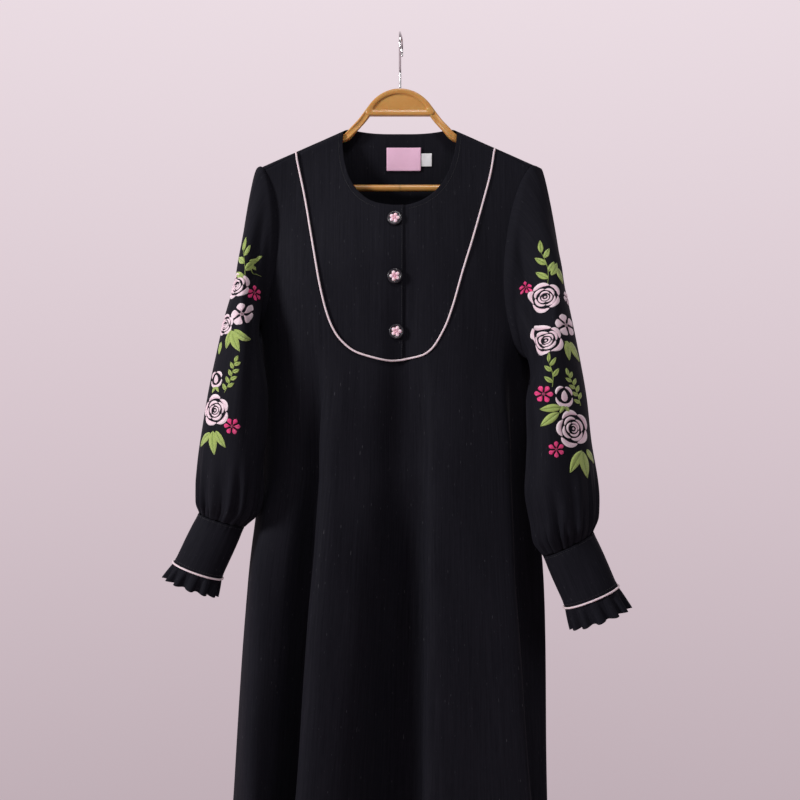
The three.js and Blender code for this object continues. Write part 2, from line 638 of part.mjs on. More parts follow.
function armholePoint(side, a) {
  const place = armhole(side, a);
  const sign = ARMHOLES[side].sign;
  const low = Math.abs(a) ** UNDERARM_POWER;
  const s = place.s + sign * ARMHOLE_GAP * (1 - low);
  const v = Math.abs(place.v) - SEAM_GAP * low;
  const point = bodyPoint(a > 0, s, v);
  if (Math.abs(a) === 1) point.p.y = SIDE_Y;
  return point;
}

// One point of an oval ring: turn is 0 at the inner end, a half on the outer end, and the
// front lies between them.
function ovalPoint({ outer, inner, half, back = 1 }, turn) {
  const angle = 2 * Math.PI * turn;
  const along = Math.cos(angle);
  const depth = Math.sin(angle);
  const power = 2 / SLEEVE_POWER;
  const a = Math.sign(along) * Math.abs(along) ** power;
  const b = Math.sign(depth) * Math.abs(depth) ** power;
  const middle = new THREE.Vector3().addVectors(outer, inner).multiplyScalar(0.5);
  const arm = new THREE.Vector3().subVectors(inner, outer).multiplyScalar(0.5 * a);
  return middle.add(arm).add(new THREE.Vector3(0, -half * b * (b < 0 ? back : 1), 0));
}

function sleevePlace(side, t, turn) {
  const ring = station(side, t);
  const p = ovalPoint(ring, turn);
  const middle = new THREE.Vector3().addVectors(ring.outer, ring.inner).multiplyScalar(0.5);
  const outwards = new THREE.Vector3().subVectors(p, middle).normalize();
  const fold = SLEEVE_FOLD[side];
  const at = mix(fold.top, fold.low, smooth(0, FOLD_SETTLES, t));
  const near = Math.exp(-(((turn - at) / fold.width) ** 2) * 3);
  const strength = smooth(0.03, 0.14, t) * (1 - smooth(0.5, 0.85, t));
  p.addScaledVector(outwards, -fold.depth * near * strength);
  const gathered = smooth(0.74, 0.95, t) * (1 - 0.6 * smooth(0.95, 1, t));
  p.addScaledVector(outwards, GATHER_DEPTH * gathered * Math.cos(2 * Math.PI * GATHERS * turn));
  const faded = smooth(0, ARMHOLE_FADE, t);
  if (faded < 1) {
    const seam = armholePoint(side, 1 - 2 * clamp(turn, 0, 1));
    const level = mix(1, CREST_PUFF[side], Math.exp(-(((turn - 0.5) / CREST_SPAN) ** 2)));
    p.lerp(moved(seam, SEAM_PUFF * level * smooth(0, 0.08, t)).p, 1 - faded);
  }
  return p;
}

// A point of a tube-like surface with its outward normal.
function tubePoint(place, t, turn) {
  const step = 0.002;
  const p = place(t, turn);
  const t0 = clamp(t - step, 0, 1);
  const t1 = clamp(t + step, 0, 1);
  const u0 = turn - step < 0 ? turn : turn - step;
  const u1 = turn + step > 1 ? turn : turn + step;
  const along = place(t1, turn).sub(place(t0, turn));
  const around = place(t, u1).sub(place(t, u0));
  return { p, n: around.cross(along).normalize() };
}

const SLEEVE_RINGS = [0, 0.04, 0.09, 0.15, 0.24, 0.36, 0.5, 0.64, 0.76, 0.85, 0.93, 1];

// The armhole's own stops, which even out further down the sleeve.
function ringTurns(side, t) {
  const stops = [...frontArm(side), ...backArm(side).slice(1)];
  const even = smooth(0.03, 0.5, t);
  return stops.map((a, i) => mix((1 - a) / 2, i / (stops.length - 1), even));
}

function outwardFix(point, middle) {
  if (point.n.dot(new THREE.Vector3().subVectors(point.p, middle)) < 0) point.n.negate();
  return point;
}

function sleeve(side) {
  const rows = SLEEVE_RINGS.map((t) => {
    const ring = station(side, t);
    const middle = new THREE.Vector3().addVectors(ring.outer, ring.inner).multiplyScalar(0.5);
    return ringTurns(side, t).map((turn) => {
      if (t === 0) return armholePoint(side, 1 - 2 * turn);
      return outwardFix(tubePoint((a, b) => sleevePlace(side, a, b), t, turn), middle);
    });
  });
  for (const row of rows) row[row.length - 1] = row[0];
  return new Sheet().grid(rows).wall(WALL);
}

// Cuff, its piping and its ruffle

function cuffEnds(side) {
  const sign = ARMHOLES[side].sign;
  const cuff = CUFFS[side];
  return {
    top: station(side, 1),
    low: {
      outer: new THREE.Vector3(sign * cuff.xOut, cuff.y, cuff.zOut),
      inner: new THREE.Vector3(sign * cuff.xIn, cuff.y, cuff.zIn),
      half: cuff.half,
    },
  };
}

function cuffRing(side, t) {
  const { top, low } = cuffEnds(side);
  return {
    outer: top.outer.clone().lerp(low.outer, t),
    inner: top.inner.clone().lerp(low.inner, t),
    half: mix(top.half, low.half, t),
  };
}

function cuffLength(side) {
  const a = cuffRing(side, 0);
  const b = cuffRing(side, 1);
  return a.outer.clone().add(a.inner).distanceTo(b.outer.clone().add(b.inner)) / 2;
}

const CUFF_TURNS = 2 * GATHERS;
const CUFF_SPAN = 50;        // stretch of the cuff over which its normals are taken

// The cuff starts just under the gathers and runs on into the ruffle: along is counted in
// millimetres from the cuff's top edge, and below the cuff the wall flares out in waves.
function cuffPlace(side, along, turn) {
  const long = cuffLength(side);
  const ring = cuffRing(side, along / long);
  const p = ovalPoint(ring, turn);
  const middle = new THREE.Vector3().addVectors(ring.outer, ring.inner).multiplyScalar(0.5);
  const outwards = new THREE.Vector3().subVectors(p, middle).normalize();
  const below = clamp((along - long) / CUFFS[side].ruffle, 0, 1.2);
  const wave = RUFFLE_WAVE * Math.cos(2 * Math.PI * GATHERS * turn);
  return p.addScaledVector(outwards, RUFFLE_FLARE * below ** 0.8 + wave * below);
}

function cuffWall(side, from, to, rings) {
  const rows = range(rings).map((t) => range(CUFF_TURNS).map((turn) => {
    const along = mix(from, to, t);
    const ring = cuffRing(side, along / cuffLength(side));
    const middle = new THREE.Vector3().addVectors(ring.outer, ring.inner).multiplyScalar(0.5);
    const place = (a, b) => cuffPlace(side, along + CUFF_SPAN * (a - 0.5), b);
    return outwardFix(tubePoint(place, 0.5, turn), middle);
  }));
  for (const row of rows) row[row.length - 1] = row[0];
  return new Sheet().grid(rows).wall(WALL);
}

// A round cord along a line of points, with the side directions given by the normals.
function cord(line, radius, sides, closed) {
  const positions = [];
  const index = [];
  const count = line.length;
  line.forEach(({ p, n }, i) => {
    const before = line[closed ? (i + count - 1) % count : Math.max(0, i - 1)].p;
    const after = line[closed ? (i + 1) % count : Math.min(count - 1, i + 1)].p;
    const along = new THREE.Vector3().subVectors(after, before).normalize();
    const across = new THREE.Vector3().crossVectors(along, n).normalize();
    const up = new THREE.Vector3().crossVectors(across, along).normalize();
    for (let k = 0; k < sides; k += 1) {
      const angle = 2 * Math.PI * k / sides;
      const point = p.clone().addScaledVector(up, radius * Math.cos(angle))
        .addScaledVector(across, radius * Math.sin(angle));
      positions.push(...point.toArray());
    }
  });
  const spans = closed ? count : count - 1;
  for (let i = 0; i < spans; i += 1) {
    for (let k = 0; k < sides; k += 1) {
      const a = i * sides + k;
      const b = i * sides + (k + 1) % sides;
      const c = ((i + 1) % count) * sides + k;
      const d = ((i + 1) % count) * sides + (k + 1) % sides;
      index.push(a, b, d, a, d, c);
    }
  }
  if (!closed) {
    for (let k = 1; k + 1 < sides; k += 1) {
      const end = (count - 1) * sides;
      index.push(0, k + 1, k, end, end + k, end + k + 1);
    }
  }
  return facingOut(geometryFrom(positions, index));
}

// Turns a closed mesh the right way round if its volume comes out negative.
function facingOut(geometry) {
  const position = geometry.getAttribute('position');
  const index = geometry.getIndex().array;
  const [a, b, c] = [new THREE.Vector3(), new THREE.Vector3(), new THREE.Vector3()];
  let volume = 0;
  for (let i = 0; i < index.length; i += 3) {
    a.fromBufferAttribute(position, index[i]);
    b.fromBufferAttribute(position, index[i + 1]);
    c.fromBufferAttribute(position, index[i + 2]);
    volume += a.dot(b.cross(c));
  }
  if (volume < 0) {
    for (let i = 0; i < index.length; i += 3) {
      [index[i + 1], index[i + 2]] = [index[i + 2], index[i + 1]];
    }
  }
  geometry.computeVertexNormals();
  return geometry;
}

const BIB_PIPING_STEPS = 44;

function bibPiping() {
  const line = range(BIB_PIPING_STEPS).map((t) => {
    const place = bibSeam(t * BIB_LAST);
    const raised = lift(place.s) * (1 - smooth(PLACKET_EDGE, PLACKET_EDGE + PIPING_DIP, place.s));
    const point = bodyPoint(true, place.s, place.v);
    return moved(point, WALL / 2 + SEAM_GAP + PIPING_RADIUS + raised);
  });
  return cord(line, PIPING_RADIUS, PIPING_SIDES, false);
}

function cuffPiping(side) {
  const long = cuffLength(side);
  const ring = cuffRing(side, 1);
  const middle = new THREE.Vector3().addVectors(ring.outer, ring.inner).multiplyScalar(0.5);
  const line = range(CUFF_TURNS).slice(0, -1).map((turn) => {
    const place = (a, b) => cuffPlace(side, long - 1 + 0.01 * (a - 0.5), b);
    const point = outwardFix(tubePoint(place, 0.5, turn), middle);
    return moved(point, WALL / 2 + SEAM_GAP + PIPING_RADIUS);
  });
  return cord(line, PIPING_RADIUS, PIPING_SIDES, true);
}

// Buttons

function seat(mesh, { s, z }, out) {
  const point = moved(bodyPoint(true, s, downTo(s, z)), out);
  mesh.position.copy(point.p);
  mesh.quaternion.setFromUnitVectors(new THREE.Vector3(0, 1, 0), point.n);
}

function buttonGeometry() {
  const profile = [
    [0, 0], [BUTTON_RADIUS * 0.9, 0], [BUTTON_RADIUS, BUTTON_THICK * 0.35],
    [BUTTON_RADIUS, BUTTON_THICK * 0.6], [BUTTON_RADIUS * 0.9, BUTTON_THICK], [0, BUTTON_THICK],
  ];
  const points = profile.map(([r, y]) => new THREE.Vector2(r, y));
  return closedLathe(points, 16);
}

function closedLathe(points, segments) {
  const geometry = new THREE.LatheGeometry(points, segments);
  geometry.deleteAttribute('normal');
  geometry.deleteAttribute('uv');
  const merged = mergeVertices(geometry, 1e-4);
  const index = merged.getIndex().array;
  const kept = [];
  for (let i = 0; i < index.length; i += 3) {
    const [a, b, c] = [index[i], index[i + 1], index[i + 2]];
    if (a !== b && b !== c && c !== a) kept.push(a, b, c);
  }
  return facingOut(geometryFrom(Array.from(merged.getAttribute('position').array), kept));
}

// Five round petals about a small hollow, as a low closed shell.
function flowerGeometry() {
  const around = 20;
  const rings = [0.36, 0.74, 1];
  const heights = [0.55, 1, 0.3];
  const positions = [0, FLOWER_THICK * 0.5, 0];
  const index = [];
  const radiusAt = (angle) => FLOWER_RADIUS * (0.74 + 0.26 * Math.abs(Math.sin(2.5 * angle)) ** 0.7);
  rings.forEach((share, i) => {
    for (let k = 0; k < around; k += 1) {
      const angle = 2 * Math.PI * k / around;
      const radius = radiusAt(angle) * share;
      positions.push(radius * Math.cos(angle), FLOWER_THICK * heights[i], radius * Math.sin(angle));
    }
  });
  for (let k = 0; k < around; k += 1) {
    const angle = 2 * Math.PI * k / around;
    const radius = radiusAt(angle) * 0.94;
    positions.push(radius * Math.cos(angle), 0, radius * Math.sin(angle));
  }
  positions.push(0, 0, 0);
  const floor = 1 + around * 4;
  for (let k = 0; k < around; k += 1) {
    const next = (k + 1) % around;
    index.push(0, 1 + k, 1 + next);
    for (let ring = 0; ring < 3; ring += 1) {
      const a = 1 + ring * around;
      const b = a + around;
      index.push(a + k, b + k, b + next, a + k, b + next, a + next);
    }
    index.push(floor, 1 + 3 * around + next, 1 + 3 * around + k);
  }
  return facingOut(geometryFrom(positions, index));
}

// Labels, from the back panel's points moved inwards

function label({ left, right, top, bottom }, inwards) {
  const rows = range(3).map((b) => range(5).map((a) => {
    const s = mix(left, right, a);
    return moved(bodyPoint(false, s, downTo(s, mix(bottom, top, b))), -inwards);
  }));
  return new Sheet().grid(rows).wall(LABEL_WALL);
}

// Hanger

function toSolid(geometry) {
  const plain = geometry.clone();
  for (const name of ['normal', 'uv']) {
    if (plain.hasAttribute(name)) plain.deleteAttribute(name);
  }
  const merged = mergeVertices(plain, 1e-4);
  return new wasm.Manifold(new wasm.Mesh({
    numProp: 3,
    vertProperties: merged.getAttribute('position').array,
    triVerts: Uint32Array.from(merged.getIndex().array),
  }));
}

function fromSolid(solid) {
  const mesh = solid.getMesh();
  return geometryFrom(Array.from(mesh.vertProperties), Array.from(mesh.triVerts));
}

// A rod through points given as x, z and, where they leave the middle plane, y.
function rod(places, radius, steps, sides) {
  const points = places.map(([x, z, y = 0]) => new THREE.Vector3(x, y, z));
  const curve = new THREE.CatmullRomCurve3(points);
  const line = range(steps).map((t) => ({
    p: curve.getPoint(t),
    n: new THREE.Vector3(0, -1, 0),
  }));
  return toSolid(cord(line, radius, sides, false));
}

// The head: a half-moon plate, its lower corners rounded, with a raised rim on both faces.
function moon(inset, thick, y) {
  const half = HEAD_HALF - inset;
  const top = HEAD_TOP - inset;
  const foot = HEAD_FOOT + inset;
  const corner = HEAD_CORNER;
  const shape = new THREE.Shape();
  const rise = top - foot;
  shape.moveTo(-half + corner, foot);
  shape.lineTo(half - corner, foot);
  shape.quadraticCurveTo(half, foot, half, foot + corner);
  shape.bezierCurveTo(half * 0.86, foot + rise * 0.55, half * 0.5, top, 0, top);
  shape.bezierCurveTo(-half * 0.5, top, -half * 0.86, foot + rise * 0.55, -half, foot + corner);
  shape.quadraticCurveTo(-half, foot, -half + corner, foot);
  const geometry = new THREE.ExtrudeGeometry(shape, {
    depth: thick, bevelEnabled: false, curveSegments: 7,
  });
  geometry.rotateX(Math.PI / 2);
  geometry.translate(0, y + thick, 0);
  return toSolid(geometry);
}

function hangerBody() {
  let solid = moon(0, HEAD_THICK, -HEAD_THICK / 2);
  const pocket = (HEAD_THICK - HEAD_WEB) / 2;
  solid = solid.subtract(moon(HEAD_RIM, pocket + 1, -HEAD_THICK / 2 - 1));
  solid = solid.subtract(moon(HEAD_RIM, pocket + 1, HEAD_WEB / 2));
  for (const sign of [-1, 1]) {
    const low = (x) => [sign * x, crest(x) - ROD_DROP];
    const arm = [
      [sign * 42, -108], [sign * 54, -124], [sign * 67, -139, -2.5], [sign * 76, -148.5, -2],
      [sign * 86, crest(86) - ROD_DROP - 1.5, 0], low(100), low(125), low(155), low(ROD_END),
    ];
    const bar = [
      [sign * 180, crest(180) - ROD_DROP], [sign * 177, -212], [sign * 164, BAR_Z],
      [sign * 130, BAR_Z], [sign * 60, BAR_Z], [sign * -1, BAR_Z],
    ];
    solid = solid.add(rod(arm, ROD_RADIUS, 13, 8)).add(rod(bar, BAR_RADIUS, 9, 8));
  }
  const hole = [HEAD_TOP + 2, HEAD_TOP - SHANK_DEPTH - 1].map((z) => ({
    p: new THREE.Vector3(0, 0, z),
    n: new THREE.Vector3(0, -1, 0),
  }));
  solid = solid.subtract(toSolid(cord(hole, WIRE_RADIUS + SHANK_PLAY, 12, false)));
  return facingOut(fromSolid(solid));
}

function hangerHook() {
  const places = [[0, HEAD_TOP - SHANK_DEPTH], [0, -66], [-1, -54], [-8, -42]];
  for (let degrees = HOOK_BEND.from; degrees >= HOOK_BEND.to; degrees -= HOOK_BEND.step) {
    const angle = THREE.MathUtils.degToRad(degrees);
    places.push([HOOK_RADIUS * Math.cos(angle), HOOK_RADIUS * Math.sin(angle)
      - HOOK_RADIUS + WIRE_RADIUS]);
  }
  const curve = new THREE.CatmullRomCurve3(places.map(([y, z]) => (
    new THREE.Vector3(HOOK_TWIST * smooth(-5, HOOK_RADIUS, y), y, z))));
  const line = range(32).map((t) => ({ p: curve.getPointAt(t), n: new THREE.Vector3(1, 0, 0) }));
  return cord(line, WIRE_RADIUS, 6, false);
}

// The whole

addMesh('front_panel', frontPanel(), materials.crepe);
addMesh('back_panel', backPanel(), materials.crepe);
addMesh('bib_right_half', bibHalf('left'), materials.crepe);
addMesh('bib_left_half', bibHalf('right'), materials.crepe);
addMesh('bib_piping', bibPiping(), materials.piping);

// The sleeve on the viewer's left is the wearer's right one.
const WEARER = { left: 'right', right: 'left' };
for (const side of ['left', 'right']) {
  const name = WEARER[side];
  const long = cuffLength(side);
  addMesh(`sleeve_${name}`, sleeve(side), materials.crepe);
  addMesh(`cuff_${name}`, cuffWall(side, SEAM_GAP + 1, long, 2), materials.crepe);
  addMesh(`cuff_piping_${name}`, cuffPiping(side), materials.piping);
  addMesh(`ruffle_${name}`, cuffWall(side, long + SEAM_GAP, long + CUFFS[side].ruffle, 3),
    materials.crepe);
}

for (const place of BUTTONS) {
  const base = WALL / 2 + LIFT + SEAM_GAP + BUTTON_STANDOFF;
  seat(addMesh(place.name, buttonGeometry(), materials.button), place, base);
  const flower = addMesh(`${place.name}_flower`, flowerGeometry(), materials.flower);
  seat(flower, place, base + BUTTON_THICK + SEAM_GAP);
}

const tagAt = WALL / 2 + SEAM_GAP + LABEL_WALL / 2;
addMesh('size_label', label(SIZE_LABEL, tagAt), materials.whiteLabel);
addMesh('neck_label', label(NECK_LABEL, tagAt + LABEL_WALL + SEAM_GAP), materials.pinkLabel);
addMesh('hanger_body', hangerBody(), materials.amber);
addMesh('hanger_hook', hangerHook(), materials.chrome);

export default group;
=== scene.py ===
# %% [markdown]
# # A black crepe abaya on its hanger
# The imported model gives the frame: metres, +Z up, the front faces -Y, and the origin is where the
# hook rests on its rail. This lesson dresses that frame. Each step says what the real thing is,
# how it could be made in Blender, and why this way was chosen.

import bmesh
import bpy
import numpy as np
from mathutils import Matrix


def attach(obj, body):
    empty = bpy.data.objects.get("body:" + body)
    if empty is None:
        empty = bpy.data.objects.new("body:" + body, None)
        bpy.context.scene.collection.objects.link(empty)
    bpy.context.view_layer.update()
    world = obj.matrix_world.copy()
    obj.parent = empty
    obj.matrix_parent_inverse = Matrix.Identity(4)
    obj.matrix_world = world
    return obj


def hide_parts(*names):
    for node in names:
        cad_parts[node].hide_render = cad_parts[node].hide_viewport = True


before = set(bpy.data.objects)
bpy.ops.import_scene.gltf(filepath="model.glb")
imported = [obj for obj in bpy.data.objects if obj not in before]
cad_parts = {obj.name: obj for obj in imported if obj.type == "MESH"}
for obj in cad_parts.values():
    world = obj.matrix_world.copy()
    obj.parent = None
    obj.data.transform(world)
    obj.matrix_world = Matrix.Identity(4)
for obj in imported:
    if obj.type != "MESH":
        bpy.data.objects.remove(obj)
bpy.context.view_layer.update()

# %% [markdown]
# ## The camera
# The picture was taken level, from about chest height. The camera stands 1.5 m in front of the
# garment and 0.53 m below the hook, and 800 pixels span 42.26 degrees, so a point at x, y, z lies
# at column 399.5 + 1035 x / (1.5 + y) and row 400 - 1035 (z + 0.53) / (1.5 + y).

# %% Camera
MM = 0.001
FOCAL_PIXELS = 1035.0
PICTURE_PIXELS, MIDDLE_COLUMN, MIDDLE_ROW = 800, 399.5, 400.0
STAND_OFF = 1.5
EYE_Z = -0.53

lens = bpy.data.cameras.new("camera")
lens.sensor_width = 36.0
lens.lens = lens.sensor_width * FOCAL_PIXELS / PICTURE_PIXELS
camera = bpy.data.objects.new("camera", lens)
camera.location = (0.0, -STAND_OFF, EYE_Z)
camera.rotation_euler = (np.pi / 2, 0.0, 0.0)
bpy.context.scene.collection.objects.link(camera)
bpy.context.scene.camera = camera


def to_pixels(points):
    """Column and row of points in millimetres: the focal length times x, or times the height
    above the eye, over the distance from the camera."""
    x, y, z = np.moveaxis(points * MM, -1, 0)
    column = MIDDLE_COLUMN + FOCAL_PIXELS * x / (STAND_OFF + y)
    row = MIDDLE_ROW - FOCAL_PIXELS * (z - EYE_Z) / (STAND_OFF + y)
    return column, row


print("lens", round(lens.lens, 2), "mm")

# %% [markdown]
# ## Curves as arrays
# Every shape below is a function of two numbers, worked out with numpy for a whole grid at once.
# A few small helpers do most of the work: an S-shaped ramp, a bell, and a cubic curve through a
# short table.

# %% Ramps and curves


def smooth(low, high, x):
    """0 below low, 1 above high, and 3t^2 - 2t^3 between them."""
    t = np.clip((np.asarray(x, float) - low) / (high - low), 0.0, 1.0)
    return t * t * (3 - 2 * t)


def mix(a, b, t):
    """Straight blend: a at t = 0, b at t = 1."""
    return a + (b - a) * t


def bell(x, middle, width):
    """1 at the middle, and e to minus the square of the distance over the width."""
    return np.exp(-(((x - middle) / width) ** 2))


def hermite(t, start, start_slope, end, end_slope):
    """Cubic from start at t = 0 to end at t = 1 with those slopes."""
    t2, t3 = t * t, t * t * t
    return ((2 * t3 - 3 * t2 + 1) * start + (t3 - 2 * t2 + t) * start_slope
            + (3 * t2 - 2 * t3) * end + (t3 - t2) * end_slope)


def through(places, values, at):
    """Cubic Hermite curve through values at places. The slope at a place is the rise over the
    run between its two neighbours. values may have more columns, one curve each."""
    places = np.asarray(places, float)
    values = np.asarray(values, float)
    if places[-1] < places[0]:
        places, values = places[::-1], values[::-1]
    last = len(places) - 1
    at = np.clip(np.asarray(at, float), places[0], places[-1])
    i = np.clip(np.searchsorted(places, at, side="right") - 1, 0, last - 1)
    low, high = np.maximum(np.arange(last + 1) - 1, 0), np.minimum(np.arange(last + 1) + 1, last)
    run = (places[high] - places[low]).reshape((-1,) + (1,) * (values.ndim - 1))
    slope = (values[high] - values[low]) / run
    span = places[i + 1] - places[i]
    t = (at - places[i]) / span
    if values.ndim > 1:
        t, span = t[..., None], span[..., None]
    return hermite(t, values[i], span * slope[i], values[i + 1], span * slope[i + 1])


def unit(vectors):
    """Each vector over its own length."""
    return vectors / np.maximum(np.linalg.norm(vectors, axis=-1, keepdims=True), 1e-9)


def arc_along(path):
    """The length of a path of points up to each of them."""
    steps = np.linalg.norm(np.diff(path, axis=0), axis=-1)
    return np.concatenate([[0], np.cumsum(steps)])


print("half way up the ramp:", smooth(0, 1, 0.5))

# %% [markdown]
# ## From a grid to a mesh
# A sheet of cloth could be modelled by hand, simulated, or computed. The drape here has to fit the
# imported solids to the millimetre, so it is computed. Several grids may join in one piece: their
# shared edges have the same points, and merging doubles sews them. A Solidify modifier gives the
# cloth its thickness. Each grid also gives the UV map its place on the flat cloth in metres, so
# the weave follows the grain instead of the room.


def place_object(mesh, name, finish, rides=True):
    """Links a mesh as an object at the origin, gives it its finish and lets it ride on the body."""
    made = bpy.data.objects.new(name, mesh)
    bpy.context.scene.collection.objects.link(made)
    mesh.materials.append(finish)
    if rides:
        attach(made, "root")
    return made


def sheet_mesh(name, grids, finish, thick=0.0, merge=2e-5, closed=False, tint=None, rides=True):
    """grids holds (points, normals, uv) arrays of rows by columns, in millimetres and metres.
    Quads join neighbours; a grid is turned over if most quads face against its normals."""
    points, uvs, faces, tints, start = [], [], [], [], 0
    for number, (p, n, uv) in enumerate(grids):
        rows, columns = p.shape[:2]
        ids = np.arange(rows * columns).reshape(rows, columns) + start
        quads = np.stack([ids[:-1, :-1], ids[:-1, 1:], ids[1:, 1:], ids[1:, :-1]], -1)
        cross = np.cross(p[1:, 1:] - p[:-1, :-1], p[1:, :-1] - p[:-1, 1:])
        if np.sum(np.sign(np.sum(cross * n[:-1, :-1], -1))) < 0:
            quads = quads[..., ::-1]
        points.append(p.reshape(-1, 3))
        uvs.append(uv.reshape(-1, 2))
        faces.append(quads.reshape(-1, 4))
        if tint is not None:
            tints.append(tint[number].reshape(-1, 4))
        start += rows * columns
    points, uvs, faces = np.concatenate(points) * MM, np.concatenate(uvs), np.concatenate(faces)
    mesh = bpy.data.meshes.new(name)
    mesh.from_pydata(points.tolist(), [], faces.tolist())
    layer = mesh.uv_layers.new(name="cloth")
    layer.data.foreach_set("uv", uvs[faces.ravel()].astype(np.float32).ravel())
    if tint is not None:
        colour = mesh.color_attributes.new("tint", "FLOAT_COLOR", "POINT")
        colour.data.foreach_set("color", np.concatenate(tints).astype(np.float32).ravel())
    if merge:
        work = bmesh.new()
        work.from_mesh(mesh)
        bmesh.ops.remove_doubles(work, verts=work.verts, dist=merge)
        bmesh.ops.dissolve_degenerate(work, edges=work.edges, dist=1e-7)
        if closed:
            bmesh.ops.recalc_face_normals(work, faces=work.faces)
        work.to_mesh(mesh)
        work.free()
    mesh.polygons.foreach_set("use_smooth", np.ones(len(mesh.polygons), bool))
    made = place_object(mesh, name, finish, rides)
    if thick:
        wall = made.modifiers.new("wall", "SOLIDIFY")
        wall.thickness = thick * MM
        wall.offset = 0.0
    return made


def grid_normals(points, inside):
    """Normals of a grid from its own row and column steps, turned away from the points inside."""
    down = np.gradient(points, axis=0)
    along = np.gradient(points, axis=1)
    n = unit(np.cross(down, along))
    turn = np.sign(np.sum(n * (points - inside), -1, keepdims=True))
    return n * np.where(turn == 0, 1, turn)


print("one unit in the tables is", MM, "m")

# %% [markdown]
# ## Finishes as expressions
# Shader maths reads best as formulas. A small class wraps a socket and adds a Math node for each
# operator, also where the number comes first, as in 1 - mask. A Finish holds one Principled
# shader, and its node method adds any other node from its type, settings and inputs.

# %% Shader expressions


class Wire:
    """One output socket of a finish, with Python's operators."""

    def __init__(self, finish, socket):
        self.finish, self.socket = finish, socket

    def maths(self, operation, *others, first=False):
        inputs = (*others, self) if first else (self, *others)
        return self.finish.node("ShaderNodeMath", {"operation": operation}, inputs)

    def __add__(self, other):
        return self.maths("ADD", other)

    def __sub__(self, other):
        return self.maths("SUBTRACT", other)

    def __mul__(self, other):
        return self.maths("MULTIPLY", other)

    def __rsub__(self, other):
        return self.maths("SUBTRACT", other, first=True)

    __radd__ = __add__
    __rmul__ = __mul__

    def ramp(self, low, high, start=0.0, end=1.0):
        """Map Range: low to high becomes start to end, clamped."""
        return self.finish.node(
            "ShaderNodeMapRange", {"clamp": True}, (self, low, high, start, end))


class Finish:
    """A material with one Principled shader. Constants go straight on its sockets."""

    def __init__(self, name, **constants):
        self.material = bpy.data.materials.new(name)
        self.material.use_nodes = True
        self.tree = self.material.node_tree
        self.shader = self.tree.nodes["Principled BSDF"]
        for socket, value in constants.items():
            self.shader.inputs[socket.replace("_", " ")].default_value = value

    def node(self, kind, settings=None, values=(), output=0):
        """Any node: its settings first, then its inputs by number or name."""
        made = self.tree.nodes.new(kind)
        for key, value in (settings or {}).items():
            setattr(made, key, value)
        pairs = values.items() if isinstance(values, dict) else enumerate(values)
        for key, value in pairs:
            if isinstance(value, Wire):
                self.tree.links.new(value.socket, made.inputs[key])
            elif value is not None:
                made.inputs[key].default_value = value
        return Wire(self, made.outputs[output])

    def scaled(self, place, scale):
        """A place times a scale for each axis."""
        return self.node("ShaderNodeVectorMath", {"operation": "MULTIPLY"}, (place, scale))

    def cloth_place(self, across=1.0, down=1.0):
        """The place on the flat cloth in metres, stretched across and down the grain."""
        place = self.node("ShaderNodeUVMap", {"uv_map": "cloth"})
        return self.scaled(place, (across, down, 1.0))

    def room_place(self, scale):
        """The place in the object's own frame, scaled."""
        return self.scaled(self.node("ShaderNodeTexCoord", output="Object"), scale)

    def bands(self, direction, scale, distortion, detail=2.0):
        """Even waves across the flat cloth, from 0 to 1."""
        return self.node(
            "ShaderNodeTexWave", {"wave_type": "BANDS", "bands_direction": direction},
            {"Vector": self.cloth_place(), "Scale": scale, "Distortion": distortion,
             "Detail": detail},
        )

    def noise(self, place, scale=1.0, detail=2.0, rough=0.5):
        """Smooth random values from 0 to 1 at a place."""
        return self.node(
            "ShaderNodeTexNoise", None,
            {"Vector": place, "Scale": scale, "Detail": detail, "Roughness": rough},
        )

    def blend(self, factor, a, b):
        """Colour a at factor 0 and colour b at factor 1."""
        a, b = ((*c, 1.0) if isinstance(c, tuple) and len(c) == 3 else c for c in (a, b))
        return self.node("ShaderNodeMix", {"data_type": "RGBA"}, {0: factor, 6: a, 7: b}, 2)

    def bump(self, height, strength, distance, under=None):
        """A relief of that height in metres at full strength, on top of another one."""
        values = {"Height": height, "Strength": strength, "Distance": distance}
        if under is not None:
            values["Normal"] = under
        return self.node("ShaderNodeBump", None, values)

    def feed(self, **wires):
        """Links wires to the shader's sockets and returns the material."""
        for socket, wire in wires.items():
            self.tree.links.new(wire.socket, self.shader.inputs[socket.replace("_", " ")])
        return self.material


print("finishes are ready")

# %% [markdown]
# ## The crepe
# The cloth is a dull black crepe with slubs: threads that thicken for a few centimetres, so fine
# streaks run down the grain, and small bright flecks catch the light. A photograph of cloth could
# be wrapped on it, but a pattern from noise has no seams and keeps its scale everywhere. Noise
# stretched down the grain gives the slubs, thresholded noise the flecks, and a fine isotropic
# noise the pebbled crepe that the bump shows.

# %% Crepe
crepe_finish = Finish(
    "crepe", Specular_IOR_Level=0.06, Sheen_Weight=0.012, Sheen_Roughness=0.5,
    Sheen_Tint=(0.75, 0.75, 0.9, 1.0),
)
slub = crepe_finish.noise(crepe_finish.cloth_place(620, 9), 1.0, 3.0, 0.6)
thread = crepe_finish.noise(crepe_finish.cloth_place(2400, 70), 1.0, 2.0, 0.5)
fleck = crepe_finish.noise(crepe_finish.cloth_place(760, 95), 1.0, 1.0, 0.4).ramp(0.735, 0.80)
cloud = crepe_finish.noise(crepe_finish.cloth_place(9, 5), 1.0, 2.0, 0.5)
pebble = crepe_finish.noise(crepe_finish.cloth_place(1500, 1300), 1.0, 2.0, 0.6)
streak = slub.ramp(0.30, 0.72) * 0.6 + thread.ramp(0.25, 0.75) * 0.4
cloth_colour = crepe_finish.blend(
    streak * 0.75 + cloud * 0.25, (0.0030, 0.0031, 0.0052), (0.0118, 0.0116, 0.0166)
)
cloth_colour = crepe_finish.blend(fleck * 0.55, cloth_colour, (0.07, 0.07, 0.08))
